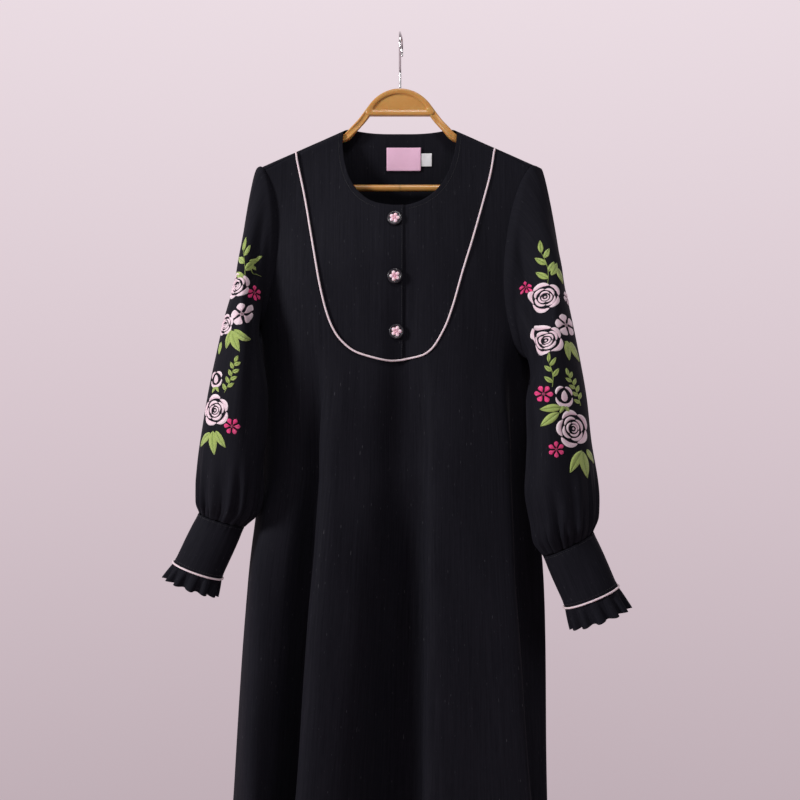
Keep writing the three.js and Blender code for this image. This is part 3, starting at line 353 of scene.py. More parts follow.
crepe_relief = crepe_finish.bump(pebble * 0.6 + slub * 0.4, 0.35, 0.0004)
crepe = crepe_finish.feed(
    Base_Color=cloth_colour,
    Roughness=streak.ramp(0.0, 1.0, 0.86, 0.66),
    Normal=crepe_relief,
)
print("crepe nodes:", len(crepe_finish.tree.nodes))

# %% [markdown]
# ## The body of the garment
# The body is a tube of cloth. A place on it is s, across from the middle, and v, down the cloth
# from the line where it bends over the hanger. Near the shoulders the section is flat and swells
# to the chest; below the bib the cloth falls into a few deep folds, which two tables give: where
# each fold line runs at the hip, the thigh, the knee and the hem.

# %% Body: measures
WALL = 1.5
SEAM_GAP = 0.3
CREST_RADIUS = 9.0
NECK_HALF = 82.0
NECK_TOP = -141.5
SHOULDER_HALF = 203.0
SHOULDER_SLOPE = 0.4417
SEAM_AT_NECK, SEAM_AT_TIP = 5.0, 13.0
HEM = -1490.0
CHEST_GROWTH = 215.0
FRONT_DEPTH, BACK_DEPTH, SIDE_Y = 55.0, 50.0, 12.0
FOLDS_START, FOLDS_FULL = -436.0, -620.0
QUARTER = CREST_RADIUS * np.pi / 2
SIDES = np.array([  # height, half width on the left and on the right
    (-197, 203, 203), (-425, 203, 203), (-452, 202, 199), (-490, 201, 195), (-640, 200, 194),
], float)
LEVELS = np.array([-640.0, -800.0, -1110.0, HEM])
FRONT_FOLDS = np.array([  # place s, then x and y at the four levels
    (-203, -200, -220, -239, -262, 12, 12, 12, 12),
    (-198, -199, -219, -239, -262, 5, -3, -8, -12),
    (-175, -180, -203, -215, -234, -16, -35, -48, -58),
    (-145, -148, -168, -186, -210, -26, -33, -38, -44),
    (-118, -112, -126, -145, -174, -18, -12, -4, 0),
    (-104, -112, -124, -146, -177, -46, -53, -60, -68),
    (-84, -92, -105, -128, -159, -56, -66, -78, -88),
    (-52, -54, -62, -82, -108, -53, -60, -68, -74),
    (-8, -8, -12, -26, -42, -38, -26, -14, -8),
    (31, 32, 31, 28, 22, -32, -14, -4, 0),
    (42, 36, 35, 31, 26, -49, -53, -58, -62),
    (60, 52, 52, 50, 46, -56, -62, -70, -78),
    (105, 104, 106, 112, 122, -54, -60, -66, -72),
    (142, 150, 156, 176, 200, -46, -52, -58, -64),
    (152, 156, 162, 185, 208, -36, -40, -44, -48),
    (162, 157, 163, 187, 208, -14, -12, -10, -6),
    (182, 176, 184, 198, 214, -1, -1, -3, -6),
    (199, 193, 207, 212, 224, 5, 5, 3, 2),
    (203, 194, 208, 213, 225, 12, 12, 12, 12),
], float)
BACK_FOLDS = np.array([
    (-203, -200, -220, -239, -262, 12, 12, 12, 12),
    (-196, -198, -217, -238, -261, 24, 26, 28, 30),
    (-150, -150, -168, -184, -204, 42, 50, 58, 66),
    (-110, -110, -121, -132, -146, 40, 38, 36, 34),
    (-68, -68, -76, -86, -98, 50, 60, 70, 80),
    (-24, -24, -28, -32, -38, 45, 42, 40, 38),
    (20, 20, 20, 22, 24, 51, 62, 74, 84),
    (66, 65, 68, 72, 78, 45, 43, 40, 38),
    (112, 112, 118, 126, 136, 47, 56, 66, 74),
    (156, 154, 162, 170, 182, 38, 40, 42, 46),
    (197, 192, 206, 211, 223, 24, 25, 26, 28),
    (203, 194, 208, 213, 225, 12, 12, 12, 12),
], float)
print("fold lines:", len(FRONT_FOLDS), "in front,", len(BACK_FOLDS), "behind")

# %% Body: the surface


def crest(s):
    """Height of the bend over the hanger: a straight slope from the side neck to the shoulder
    tip, joined across the neck by a parabola."""
    a = np.abs(s)
    bow = SHOULDER_SLOPE * (NECK_HALF**2 - a**2) / (2 * NECK_HALF)
    return NECK_TOP + np.where(a >= NECK_HALF, -SHOULDER_SLOPE * (a - NECK_HALF), bow)


def drop_at(v):
    """Height lost after v millimetres of cloth: a quarter circle, then straight down."""
    bent = CREST_RADIUS * (1 - np.cos(np.minimum(v, QUARTER) / CREST_RADIUS))
    return np.where(v >= QUARTER, CREST_RADIUS + v - QUARTER, bent)


def down_to(s, z):
    """The v at which the cloth at s reaches height z."""
    drop = np.maximum(0, crest(s) - z)
    bent = CREST_RADIUS * np.arccos(np.clip(1 - drop / CREST_RADIUS, -1, 1))
    return np.where(drop >= CREST_RADIUS, drop - CREST_RADIUS + QUARTER, bent)


def seam_down(s):
    """How far in front of the crest the shoulder seam lies, from the neck to the tip."""
    return mix(SEAM_AT_NECK, SEAM_AT_TIP, (np.abs(s) - NECK_HALF) / (SHOULDER_HALF - NECK_HALF))


def fold_place(table, s, z):
    """x and y of the draped cloth: each fold line is a cubic down the levels, and a cubic
    across the lines joins them."""
    count = len(table)
    lines = np.stack(
        [through(LEVELS, np.stack([row[1:5], row[5:9]], 1), z) for row in table])
    i = np.clip(np.searchsorted(table[:, 0], s, side="right") - 1, 0, count - 2)
    t = ((s - table[i, 0]) / (table[i + 1, 0] - table[i, 0]))[..., None]

    def pick(k):
        return np.take_along_axis(lines, np.clip(k, 0, count - 1)[None, ..., None], 0)[0]

    def slope(k):
        high, low = np.minimum(k + 1, count - 1), np.maximum(k - 1, 0)
        return (pick(high) - pick(low)) / (high - low)[..., None]

    return hermite(t, pick(i), slope(i), pick(i + 1), slope(i + 1))


def body_place(front, s, v):
    """The cloth at s, v. Its section is an oval that grows from the bend's radius to the chest's
    depth, then blends into the folds between FOLDS_START and FOLDS_FULL."""
    s, v = np.broadcast_arrays(np.asarray(s, float), np.asarray(v, float))
    face = np.where(v < 0, not front, front).astype(bool)
    v = np.abs(v)
    drop = drop_at(v)
    z = crest(s) - drop
    grown = smooth(CREST_RADIUS, CHEST_GROWTH, drop)
    short = CREST_RADIUS - np.minimum(drop, CREST_RADIUS)
    bend = np.sqrt(np.maximum(0, CREST_RADIUS**2 - short**2))
    bulge = np.sqrt(np.maximum(0, 1 - np.minimum(1, np.abs(s) / SHOULDER_HALF) ** 2.9))
    depth = np.where(face, FRONT_DEPTH + SIDE_Y, BACK_DEPTH - SIDE_Y)
    out = mix(bend, depth * bulge, grown)
    width = through(SIDES[:, 0], SIDES[:, 1:], z)
    x = s * np.where(s < 0, width[..., 0], width[..., 1]) / SHOULDER_HALF
    y = SIDE_Y * grown + np.where(face, -out, out)
    folded = smooth(FOLDS_START, FOLDS_FULL, z)
    front_fold, back_fold = fold_place(FRONT_FOLDS, s, z), fold_place(BACK_FOLDS, s, z)
    fold = np.where(face[..., None], front_fold, back_fold)
    x, y = mix(x, fold[..., 0], folded), mix(y, fold[..., 1], folded)
    gap = SEAM_GAP / 2 * smooth(0, 2 * QUARTER, v)
    return np.stack([x, y + np.where(face, -gap, gap), z], -1)


print("front of the chest:", body_place(True, 0.0, 250.0).round(1).tolist())

# %% [markdown]
# ## Creases that only show close up
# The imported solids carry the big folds. Soft cloth also has a shallow hollow below the buttons
# that leads into the middle fold, faint columns of slack between the seams, and puckers along the
# bib's seam. They are a few tenths to a few millimetres, added along the normal, and every piece
# that lies on the body reads the same function, so seams and trims stay together.

# %% Body: creases


def crease(front, s, v):
    """Millimetres outwards: a hollow below the buttons, drag lines that fan out from the
    shoulders, slack columns that fade in below the chest, and sharper folds further down."""
    face = np.where(v < 0, not front, front).astype(bool)
    z = crest(s) - drop_at(np.abs(v))
    down = smooth(-190, -330, z)
    hollow = -8.0 * bell(s, 6 + (z + 436) * 0.02, 24)
    hollow = hollow * smooth(-285, -450, z) * (1 - smooth(-500, -700, z))
    fan = 0.55 * np.sin(s / 9.5 + 1.7 * np.sin(z / 61.0) + 0.013 * z) * down
    slack = 0.9 * np.sin(s / 14.0 + 0.8 * np.sin(z / 170.0) + 2.0) * smooth(-470, -720, z)
    drift = 0.8 * np.sin(s / 23.0 - z / 140.0) * np.sin(z / 95.0 + s / 60.0) * down
    waist = -1.6 * bell(z, -455, 26) * bell(np.abs(s), 176, 20)
    behind = 1.3 * np.sin(s / 19.0 + 0.6 * np.sin(z / 90.0)) * smooth(-210, -420, z)
    ridges = 3.0 * bell(s, -84, 17) + 3.0 * bell(s, 58, 15)
    valleys = -9.0 * bell(s, -122, 13) - 8.0 * bell(s, 4, 24)
    hollow = hollow + (ridges + valleys) * smooth(-480, -760, z)
    edge = 1 - smooth(194, 203, np.abs(s))
    return np.where(face, hollow + fan + slack + drift + waist, behind + drift + slack) * edge


def body_point(front, s, v, out=0.0):
    """A point on the body and its outward normal, moved out along it with the creases."""
    step = 0.2
    s, v = np.broadcast_arrays(np.asarray(s, float), np.asarray(v, float))
    limit = np.maximum(SHOULDER_HALF, np.abs(s))
    low, high = np.clip(s - step, -limit, limit), np.clip(s + step, -limit, limit)
    across = body_place(front, high, v) - body_place(front, low, v)
    down = body_place(front, s, v + step) - body_place(front, s, v - step)
    n = unit(np.cross(down, across) if front else np.cross(across, down))
    side = (np.abs(s) >= SHOULDER_HALF - 1e-6) & (np.abs(v) > 3 * QUARTER)
    sideways = np.stack([np.sign(s), 0 * s, 0 * s], -1)
    n = np.where(side[..., None], sideways, n)
    p = body_place(front, s, v) + n * (out + crease(front, s, v))[..., None]
    return p, n


print("crease at the third button:", round(float(crease(True, 0.0, down_to(0.0, -434))), 2), "mm")

# %% [markdown]
# ## The bib's seam and the armholes
# The panels are cut along two kinds of line: the curved seam of the bib and the armholes. Both
# are short tables or formulas in s and v, and the piping, the stitching and the sleeves follow
# them too.

# %% Seam lines
PLACKET_EDGE, UNDERLAP_EDGE = 5.0, -16.0
LIFT = WALL + SEAM_GAP
NECK_POWER, BACK_NECK_POWER = 2.25, 1.8
FRONT_NECK_DROP, BACK_NECK_DROP, NECK_SHIFT = 114.0, 19.0, -6.0
BIB_SEAM = np.array([
    (-147, -190), (-134.5, -246), (-121.8, -313), (-109, -381), (-96.4, -423), (-80.3, -448.5),
    (-56, -465), (-15, -475), (19, -471), (44, -460), (61, -431.6), (73.5, -398), (88, -347),
    (103.5, -297), (118.6, -246), (130, -204),
])
BIB_LEFT_TOP, BIB_RIGHT_TOP = -149.0, 136.0
bib_knots = np.concatenate([
    [(BIB_LEFT_TOP, seam_down(BIB_LEFT_TOP))],
    np.stack([BIB_SEAM[:, 0], down_to(BIB_SEAM[:, 0], BIB_SEAM[:, 1])], 1),
    [(BIB_RIGHT_TOP, seam_down(BIB_RIGHT_TOP))],
])
BIB_LAST = len(bib_knots) - 1


def bib_seam(w, gap=0.0):
    """s and v along the seam at w, moved sideways by gap: minus for the panel, plus for the bib."""
    w = np.clip(w, 0, BIB_LAST)
    places = np.arange(BIB_LAST + 1)
    here = through(places, bib_knots, w)
    step = through(places, bib_knots, w + 0.01) - through(places, bib_knots, w - 0.01)
    long = np.linalg.norm(step, axis=-1)
    return np.stack([
        here[..., 0] + gap * step[..., 1] / long, here[..., 1] - gap * step[..., 0] / long,
    ], -1)


seam_table = np.linspace(3, BIB_LAST - 3, 2000)
seam_table_s = bib_seam(seam_table)[:, 0]


def bib_seam_at(s):
    """The w at which the seam's lower stretch crosses s."""
    return np.interp(s, seam_table_s, seam_table)


ARMHOLES = {  # side of the picture: sign, underarm, bow in front and behind, power, skew
    "left": (-1, -425, 28, 22, 0.7, 1.0),
    "right": (1, -480, 57, 22, 0.5, 0.62),
}


def armhole(side, a):
    """s and v at a: 1 at the underarm in front, 0 on the crest, -1 at the underarm behind. The
    line bows in from the shoulder tip by a sine to a power."""
    sign, underarm, front, back, power, skew = ARMHOLES[side]
    deep = down_to(SHOULDER_HALF, underarm)
    a = np.asarray(a, float)
    share = np.maximum(0, 1 - np.abs(a)) ** np.where(a > 0, skew, 1)
    curve = np.maximum(0, np.sin(np.pi * share)) ** np.where(a > 0, power, 0.8)
    return np.stack([sign * (SHOULDER_HALF - np.where(a > 0, front, back) * curve), a * deep], -1)


def neck_down(front, turn):
    """s and v of the neckline, a superellipse; turn is 0 and pi at the side necks."""
    side = np.cos(turn)
    s = -NECK_HALF * np.sign(side) * np.abs(side) ** (2 / NECK_POWER)
    if front:
        drop = np.maximum(0, np.sin(turn)) ** (2 / NECK_POWER)
        z = crest(NECK_HALF) - mix(drop_at(SEAM_AT_NECK), FRONT_NECK_DROP, drop)
        s = s + NECK_SHIFT * drop
        return np.stack([s, down_to(s, z)], -1)
    drop = np.maximum(0, np.sin(turn)) ** BACK_NECK_POWER
    return np.stack([s, mix(-SEAM_AT_NECK, down_to(0, crest(0) - BACK_NECK_DROP), drop)], -1)


print("bib seam from", bib_knots[0].round(1).tolist(), "to", bib_knots[-1].round(1).tolist())

# %% [markdown]
# ## Panels
# A panel with four edges is a Coons patch: straight blends of the opposite edges, less the blend
# of the corners. The front is three patches, the skirt and one beside each armhole, sewn where
# they meet. The columns stand closer where a fold turns sharply.

# %% Panels: patches


def coons(bottom, top, start, end):
    """Places from four edges of s, v pairs. bottom and top run along the columns, start and end
    run up the rows."""
    a = np.linspace(0, 1, len(bottom))[None, :, None]
    b = np.linspace(0, 1, len(start))[:, None, None]
    ruled = mix(bottom[None], top[None], b) + mix(start[:, None], end[:, None], a)
    corners = mix(mix(bottom[0], bottom[-1], a), mix(top[0], top[-1], a), b)
    return ruled - corners


def on_body(front, places, out=0.0):
    """A grid for sheet_mesh from s, v places on the body."""
    p, n = body_point(front, places[..., 0], places[..., 1], out)
    return p, n, places * MM


def fold_columns(table, between):
    """Columns across the cloth: every fold line, and the same number between each two."""
    s = table[:, 0]
    spans = [np.linspace(a, b, between, endpoint=False) for a, b in zip(s[:-1], s[1:])]
    return np.concatenate([*spans, [s[-1]]])


CORNER_LEFT, CORNER_RIGHT = -84.0, 60.0
front_columns = fold_columns(FRONT_FOLDS, 9)
back_columns = fold_columns(BACK_FOLDS, 16)
print("columns:", len(front_columns), "in front,", len(back_columns), "behind")

# %% Front panel


def skirt_top(s):
    """v of the skirt's upper edge: the bib's seam between the corners, a straight line in s, v
    from there to the underarms."""
    middle = bib_seam(bib_seam_at(s), -SEAM_GAP / 2)[..., 1]
    made = np.array(middle)
    for side, corner in (("left", CORNER_LEFT), ("right", CORNER_RIGHT)):
        sign, underarm = ARMHOLES[side][:2]
        inner = bib_seam(bib_seam_at(corner), -SEAM_GAP / 2)[1]
        t = (s - corner) / (sign * SHOULDER_HALF - corner)
        made = np.where(t > 0, mix(inner, down_to(SHOULDER_HALF, underarm), t), made)
    return made


rows = np.linspace(0, 1, 130)[:, None] ** 1.15
skirt_s = np.broadcast_to(front_columns, (130, len(front_columns)))
skirt_v = mix(skirt_top(front_columns)[None], down_to(front_columns, HEM)[None], rows)
front_grids = [on_body(True, np.stack([skirt_s, skirt_v], -1))]
for side, corner, last in (("left", CORNER_LEFT, 0.0), ("right", CORNER_RIGHT, float(BIB_LAST))):
    outer = front_columns[front_columns <= corner + 1e-6] if side == "left" else \
        front_columns[front_columns >= corner - 1e-6][::-1]
    deep = down_to(SHOULDER_HALF, ARMHOLES[side][1])
    climb = np.linspace(0, 1, 70)
    arm = armhole(side, mix(1.0, SEAM_AT_TIP / deep, climb))
    seam = bib_seam(mix(bib_seam_at(corner), last, climb), -SEAM_GAP / 2)
    low = np.stack([outer, skirt_top(outer)], -1)
    shoulder = np.linspace(arm[-1, 0], seam[-1, 0], len(outer))
    high = np.stack([shoulder, seam_down(shoulder) + SEAM_GAP / 2], -1)
    arm[-1], seam[-1], arm[0], seam[0] = high[0], high[-1], low[0], low[-1]
    front_grids.append(on_body(True, coons(low, high, arm, seam)))
front_panel = sheet_mesh("front_panel_cloth", front_grids, crepe, WALL)
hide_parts("front_panel")
print("front panel:", len(front_panel.data.polygons), "faces")

# %% Back panel
count = len(back_columns)
deeps = [down_to(SHOULDER_HALF, ARMHOLES[side][1]) for side in ("left", "right")]
low_v = mix(deeps[0], deeps[1], (back_columns / SHOULDER_HALF + 1) / 2)
skirt_v = mix(low_v[None], down_to(back_columns, HEM)[None], rows)
back_skirt = np.stack([np.broadcast_to(back_columns, skirt_v.shape), skirt_v], -1)
shoulder_count = round(count * 7 / 23)
climb = np.linspace(0, 1, 90)
arms, shoulders = [], []
for side, deep in zip(("left", "right"), deeps):
    line = armhole(side, mix(-1.0, SEAM_AT_TIP / deep, climb))
    arms.append(np.stack([line[:, 0], -line[:, 1]], -1))
    neck = ARMHOLES[side][0] * NECK_HALF
    tip_to_neck = np.linspace(line[-1, 0], neck, shoulder_count, endpoint=False)
    shoulders.append(np.stack([tip_to_neck, -seam_down(tip_to_neck) + SEAM_GAP / 2], -1))
back_neck = neck_down(False, np.linspace(0, np.pi, count - 2 * shoulder_count))
upper = np.concatenate([shoulders[0], back_neck, shoulders[1][::-1]])
lower = np.stack([back_columns, low_v], -1)
for arm, corner in ((arms[0], 0), (arms[1], -1)):
    arm[0], upper[corner] = lower[corner], arm[-1]
back_grids = [on_body(False, back_skirt), on_body(False, coons(lower, upper, arms[0], arms[1]))]
back_panel = sheet_mesh("back_panel_cloth", back_grids, crepe, WALL)
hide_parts("back_panel")
print("back panel:", len(back_panel.data.polygons), "faces")

# %% [markdown]
# ## The bib
# The bib is cut as two halves that overlap at the placket. The wearer's right half lies on top,
# so its cloth rises by one thickness over the last two centimetres before its edge.

# %% Bib


def placket_lift(s):
    """The upper half rises over the lower one: a ramp from s = -42 to -22."""
    return LIFT * smooth(-42, -22, s)


def bib_grid(side, steps=110, up=60):
    """Coons patch from the shoulder seam to the placket edge, and from the seam to the neck."""
    left = side == "left"
    edge = PLACKET_EDGE if left else UNDERLAP_EDGE
    first = 0.0 if left else float(BIB_LAST)
    bottom = bib_seam(np.linspace(first, bib_seam_at(edge), steps), SEAM_GAP / 2)
    turns = np.linspace(0, np.pi, 4000)
    line = neck_down(True, turns)
    end_turn = np.interp(edge, line[:, 0], turns)
    top = neck_down(True, np.linspace(0.0 if left else np.pi, end_turn, steps))
    bottom[-1, 0] = top[-1, 0] = edge
    shoulder = np.linspace(bottom[0, 0], top[0, 0], up)
    start = np.stack([shoulder, seam_down(shoulder) + SEAM_GAP / 2], -1)
    bottom[0], top[0] = start[0], start[-1]
    end = np.stack([np.full(up, edge), np.linspace(bottom[-1, 1], top[-1, 1], up)], -1)
    places = coons(bottom, top, start, end)
    return on_body(True, places, placket_lift(places[..., 0]) if left else 0.0)


for side, node in (("left", "bib_right_half"), ("right", "bib_left_half")):
    sheet_mesh(f"{node}_cloth", [bib_grid(side)], crepe, WALL)
    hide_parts(node)

# %% [markdown]
# ## Sleeves
# A sleeve is a tube too. Each ring is a superellipse between an outer and an inner end, given by
# a table from the armhole to the cuff, and near the top the ring blends into the armhole's own
# line. A deep fold runs down the front, and above the cuff the cloth is drawn into gathers: a
# row of narrow grooves of uneven depth and length, which look more natural than one even wave.

# %% Sleeves: measures
SLEEVES = {  # t; x, y, z of the ring's outer end; the same of its inner end; half depth
    "left": np.array([
        (0, 203, 0, -197.4, 203, 12, -424.7, 24), (0.04, 213, -2, -205, 207, 9, -427, 28),
        (0.09, 222.5, -4, -229, 208, 0, -434, 34), (0.15, 226, -6, -266, 205, -14, -446, 41),
        (0.24, 229.5, -8, -311, 198, -28, -463, 48), (0.34, 235.5, -10, -356, 193, -37, -485, 54),
        (0.45, 249.5, -14, -408, 188, -41, -512, 57), (0.56, 260.5, -18, -463, 187, -41, -543, 58),
        (0.67, 273, -20, -525, 188, -39, -580, 57), (0.78, 283, -20, -587, 193, -35, -622, 55),
        (0.88, 287.5, -20, -640, 195, -30, -656, 52), (0.95, 289, -20, -674, 203, -25, -689, 44),
        (1, 286, -20, -690, 223, -20, -710, 26),
    ]),
    "right": np.array([
        (0, 203, 0, -197.4, 203, 12, -479.7, 24), (0.04, 212, -3, -209, 208, 7, -481.5, 28),
        (0.09, 219.5, -7, -239, 205, -4, -488, 35), (0.15, 224, -10, -274, 197, -26, -497, 42),
        (0.24, 228.5, -14, -318, 184, -50, -510, 49), (0.34, 233, -20, -362, 176, -68, -528, 52),
        (0.45, 241, -28, -405, 174, -80, -553, 54), (0.56, 251, -38, -466, 174, -86, -587, 55),
        (0.67, 260, -48, -528, 172, -88, -620, 55), (0.78, 265, -58, -590, 170, -87, -657, 55),
        (0.88, 271, -68, -645, 177, -85, -695, 52), (0.95, 270.5, -77, -687, 182, -85, -723, 44),
        (1, 263, -84, -709, 196, -86, -742, 26),
    ]),
}
SLEEVE_POWER = 2.15
ARMHOLE_FADE, ARMHOLE_GAP = 0.3, 0.45
SEAM_PUFF, CREST_PUFF, CREST_SPAN = 8.5, {"left": 0.5, "right": 0.2}, 0.09
GATHERS, GATHER_DEPTH = 13, 4.5
SLEEVE_FOLD = {  # turn at the top, turn below, width, depth
    "left": (0.40, 0.16, 0.10, 11.0),
    "right": (0.31, 0.02, 0.10, 17.0),
}
CUFFS = {  # outer x, z; inner x, z; y; half depth; ruffle depth
    "left": (322.5, -762, 256, -786, -20, 26, 25),
    "right": (296.5, -784, 226, -813, -88, 26, 31),
}
RUFFLE_FLARE, RUFFLE_WAVE = 2.5, 3.8
GROOVE_COUNT = 24
dice = np.random.default_rng(7)
GROOVES = {  # turn, width, depth and length of each gather's groove
    side: np.stack([
        (np.arange(GROOVE_COUNT) + dice.uniform(0.15, 0.85, GROOVE_COUNT)) / GROOVE_COUNT,
        dice.uniform(0.005, 0.011, GROOVE_COUNT), dice.uniform(3.0, 7.5, GROOVE_COUNT),
        dice.uniform(0.10, 0.34, GROOVE_COUNT) ** 1.1,
    ], 1) for side in ("left", "right")
}
print("sleeve rings:", {side: len(table) for side, table in SLEEVES.items()})

# %% Sleeves: the surface


def station(side, t):
    """Outer end, inner end, half depth and back share of the ring at t."""
    row = through(SLEEVES[side][:, 0], SLEEVES[side][:, 1:], t)
    sign = ARMHOLES[side][0]
    flip = np.array([sign, 1, 1])
    back = mix(1.0, 0.6, smooth(0.04, 0.2, t) * (1 - smooth(0.8, 1, t)))
    return row[..., 0:3] * flip, row[..., 3:6] * flip, row[..., 6], back


def armhole_point(side, a):
    """The sleeve's own edge along the armhole, a gap away from the body's."""
    place = armhole(side, a)
    sign = ARMHOLES[side][0]
    low = np.abs(a) ** 12
    s = place[..., 0] + sign * ARMHOLE_GAP * (1 - low)
    v = np.abs(place[..., 1]) - SEAM_GAP * low
    front, nf = body_point(True, s, v)
    back, nb = body_point(False, s, v)
    pick = (a > 0)[..., None]
    p, n = np.where(pick, front, back), np.where(pick, nf, nb)
    p[..., 1] = np.where(np.abs(a) >= 1 - 1e-9, SIDE_Y, p[..., 1])
    return p, n


EDGE_TURNS = np.linspace(0, 1, 4001)
edges = {side: armhole_point(side, 1 - 2 * EDGE_TURNS) for side in ("left", "right")}


def oval_point(outer, inner, half, back, turn):
    """A superellipse in the plane of the arm's width and Y: turn 0 is the inner end, a half
    the outer one, and the front lies between them."""
    angle = 2 * np.pi * turn
    a, b = np.cos(angle), np.sin(angle)
    power = 2 / SLEEVE_POWER
    a, b = np.sign(a) * np.abs(a) ** power, np.sign(b) * np.abs(b) ** power
    p = (outer + inner) / 2 + (inner - outer) / 2 * a[..., None]
    p = np.array(p)
    p[..., 1] -= half * b * np.where(b < 0, back, 1.0)
    return p


def sleeve_place(side, t, turn, folds=1.0):
    """The ring's oval with its fold and gathers, blended into the armhole near the top. With
    folds at 0 it is the bare oval, as if the sleeve were full."""
    t, turn = np.broadcast_arrays(np.asarray(t, float), np.asarray(turn, float))
    turn = np.clip(turn, 0, 1)
    outer, inner, half, back = station(side, t)
    p = oval_point(outer, inner, half, back, turn)
    middle = (outer + inner) / 2
    away = unit(p - middle)
    top, low, width, depth = SLEEVE_FOLD[side]
    at = mix(top, low, smooth(0, 0.35, t))
    fold = np.exp(-3 * ((turn - at) / width) ** 2) * smooth(0.03, 0.14, t)
    out = -depth * fold * (1 - smooth(0.5, 0.85, t))
    gathered = smooth(0.74, 0.95, t) * (1 - 0.6 * smooth(0.95, 1, t))
    out = out + 0.55 * GATHER_DEPTH * gathered * np.cos(2 * np.pi * GATHERS * turn)
    for place, wide, deep, long in GROOVES[side]:
        away_from = np.abs(turn - place)
        away_from = np.minimum(away_from, 1 - away_from)
        spread = wide * (1 + 1.6 * smooth(1, 1 - long, t))
        pull = smooth(1 - long, 0.985, t) * (1 - 0.45 * smooth(0.97, 1, t))
        out = out - deep * pull * bell(away_from, 0, spread)
    wind = 2 * np.pi * turn
    out = out + 0.9 * np.sin(3 * wind + 5 * t + 1) * smooth(0.08, 0.3, t) * (1 - smooth(0.8, 1, t))
    out = out + 0.8 * np.sin(5 * wind - 9 * t) * np.sin(11 * t + wind) * smooth(0.15, 0.4, t)
    p = p + away * (folds * out)[..., None]
    faded = smooth(0, ARMHOLE_FADE, t)
    seam, n = (np.stack([np.interp(turn, EDGE_TURNS, column) for column in table.T], -1)
               for table in edges[side])
    level = mix(1.0, CREST_PUFF[side], bell(turn, 0.5, CREST_SPAN))
    seam = seam + n * (SEAM_PUFF * level * smooth(0, 0.08, t))[..., None]
    return mix(seam, p, faded[..., None])


def sleeve_point(side, t, turn, out=0.0):
    """A place on the sleeve and its outward normal, moved out along it."""
    step = 0.002
    t, turn = np.broadcast_arrays(np.asarray(t, float), np.asarray(turn, float))
    p = sleeve_place(side, t, turn)
    along = sleeve_place(side, np.minimum(t + step, 1), turn) - sleeve_place(
        side, np.maximum(t - step, 0), turn)
    around = sleeve_place(side, t, (turn + step) % 1) - sleeve_place(side, t, (turn - step) % 1)
    outer, inner = station(side, t)[:2]
    n = unit(np.cross(around, along))
    turned = np.sign(np.sum(n * (p - (outer + inner) / 2), -1, keepdims=True))
    n = n * np.where(turned == 0, 1, turned)
    return p + n * np.asarray(out)[..., None], n


def cloth_lengths(points):
    """UV in metres: the arc along each row and down each column, averaged over the grid."""
    across = np.linalg.norm(np.diff(points, axis=1), axis=-1).mean(0)
    down = np.linalg.norm(np.diff(points, axis=0), axis=-1).mean(1)
    u, v = np.concatenate([[0], np.cumsum(across)]), np.concatenate([[0], np.cumsum(down)])
    return np.stack(np.meshgrid(u, v), -1) * MM


WEARER = {"left": "right", "right": "left"}
for side in ("left", "right"):
    t = np.concatenate([np.linspace(0, 0.3, 46)[:-1], np.linspace(0.3, 0.72, 40)[:-1],
                        np.linspace(0.72, 1, 52)])
    turn = np.linspace(0, 1, 221)
    t_grid, turn_grid = np.meshgrid(t, turn, indexing="ij")
    p, n = sleeve_point(side, t_grid, turn_grid)
    p[:, -1], n[:, -1] = p[:, 0], n[:, 0]
    node = f"sleeve_{WEARER[side]}"
    sheet_mesh(f"{node}_cloth", [(p, n, cloth_lengths(p))], crepe, WALL)
    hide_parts(node)

# %% [markdown]
# ## Cuffs and ruffles
# The cuff is a smooth cone that carries on from the sleeve's last ring. The ruffle is a strip
# well over one and a half times as long as the edge it is sewn to, so it stands in even waves
# that grow towards its free edge. A cosine pushed towards a square wave gives the rounded tabs
# of a real gathered frill.

# %% Cuffs and ruffles


def cuff_ring(side, share):
    """Ends and half depth of the cuff's ring: a straight blend from the sleeve's last ring."""
    sign = ARMHOLES[side][0]
    x_out, z_out, x_in, z_in, y, half, _ = CUFFS[side]
    outer, inner, top_half, _ = station(side, np.float64(1))
    share = np.asarray(share, float)[..., None]
    low_outer, low_inner = np.array([sign * x_out, y, z_out]), np.array([sign * x_in, y, z_in])
    return mix(outer, low_outer, share), mix(inner, low_inner, share), \
        mix(top_half, half, share[..., 0])


def cuff_length(side):
    """Distance between the middles of the cuff's two ends."""
    a, b = cuff_ring(side, 0.0), cuff_ring(side, 1.0)
    return float(np.linalg.norm((a[0] + a[1] - b[0] - b[1]) / 2))


def cuff_place(side, along, turn):
    """Millimetres down from the sleeve's end, and round. Past the cuff's own length the wall
    flares and waves."""
    along, turn = np.broadcast_arrays(np.asarray(along, float), np.asarray(turn, float))
    long, ruffle = cuff_length(side), CUFFS[side][6]
    outer, inner, half = cuff_ring(side, along / long)
    p = oval_point(outer, inner, half, 1.0, turn)
    away = unit(p - (outer + inner) / 2)
    below = np.clip((along - long) / ruffle, 0, 1.2)
    wave = np.cos(2 * np.pi * GATHERS * turn + 0.5 * np.sin(2 * np.pi * 3 * turn))
    tabs = np.tanh(1.7 * wave) / np.tanh(1.7)
    small = 0.5 * np.cos(2 * np.pi * 29 * turn + 1.3) * below * (1 - below * 0.6)
    out = RUFFLE_FLARE * below**0.8 + (RUFFLE_WAVE * tabs) * below**0.75 + small
    pucker = 0.35 * np.cos(2 * np.pi * 26 * turn) * np.exp(-along / 9)
    sag = 0.5 * np.sin(2 * np.pi * 2 * turn + along / 17) * smooth(4, 20, along)
    sag = sag * (1 - smooth(long - 14, long, along))
    return p + away * (out + pucker + sag)[..., None]


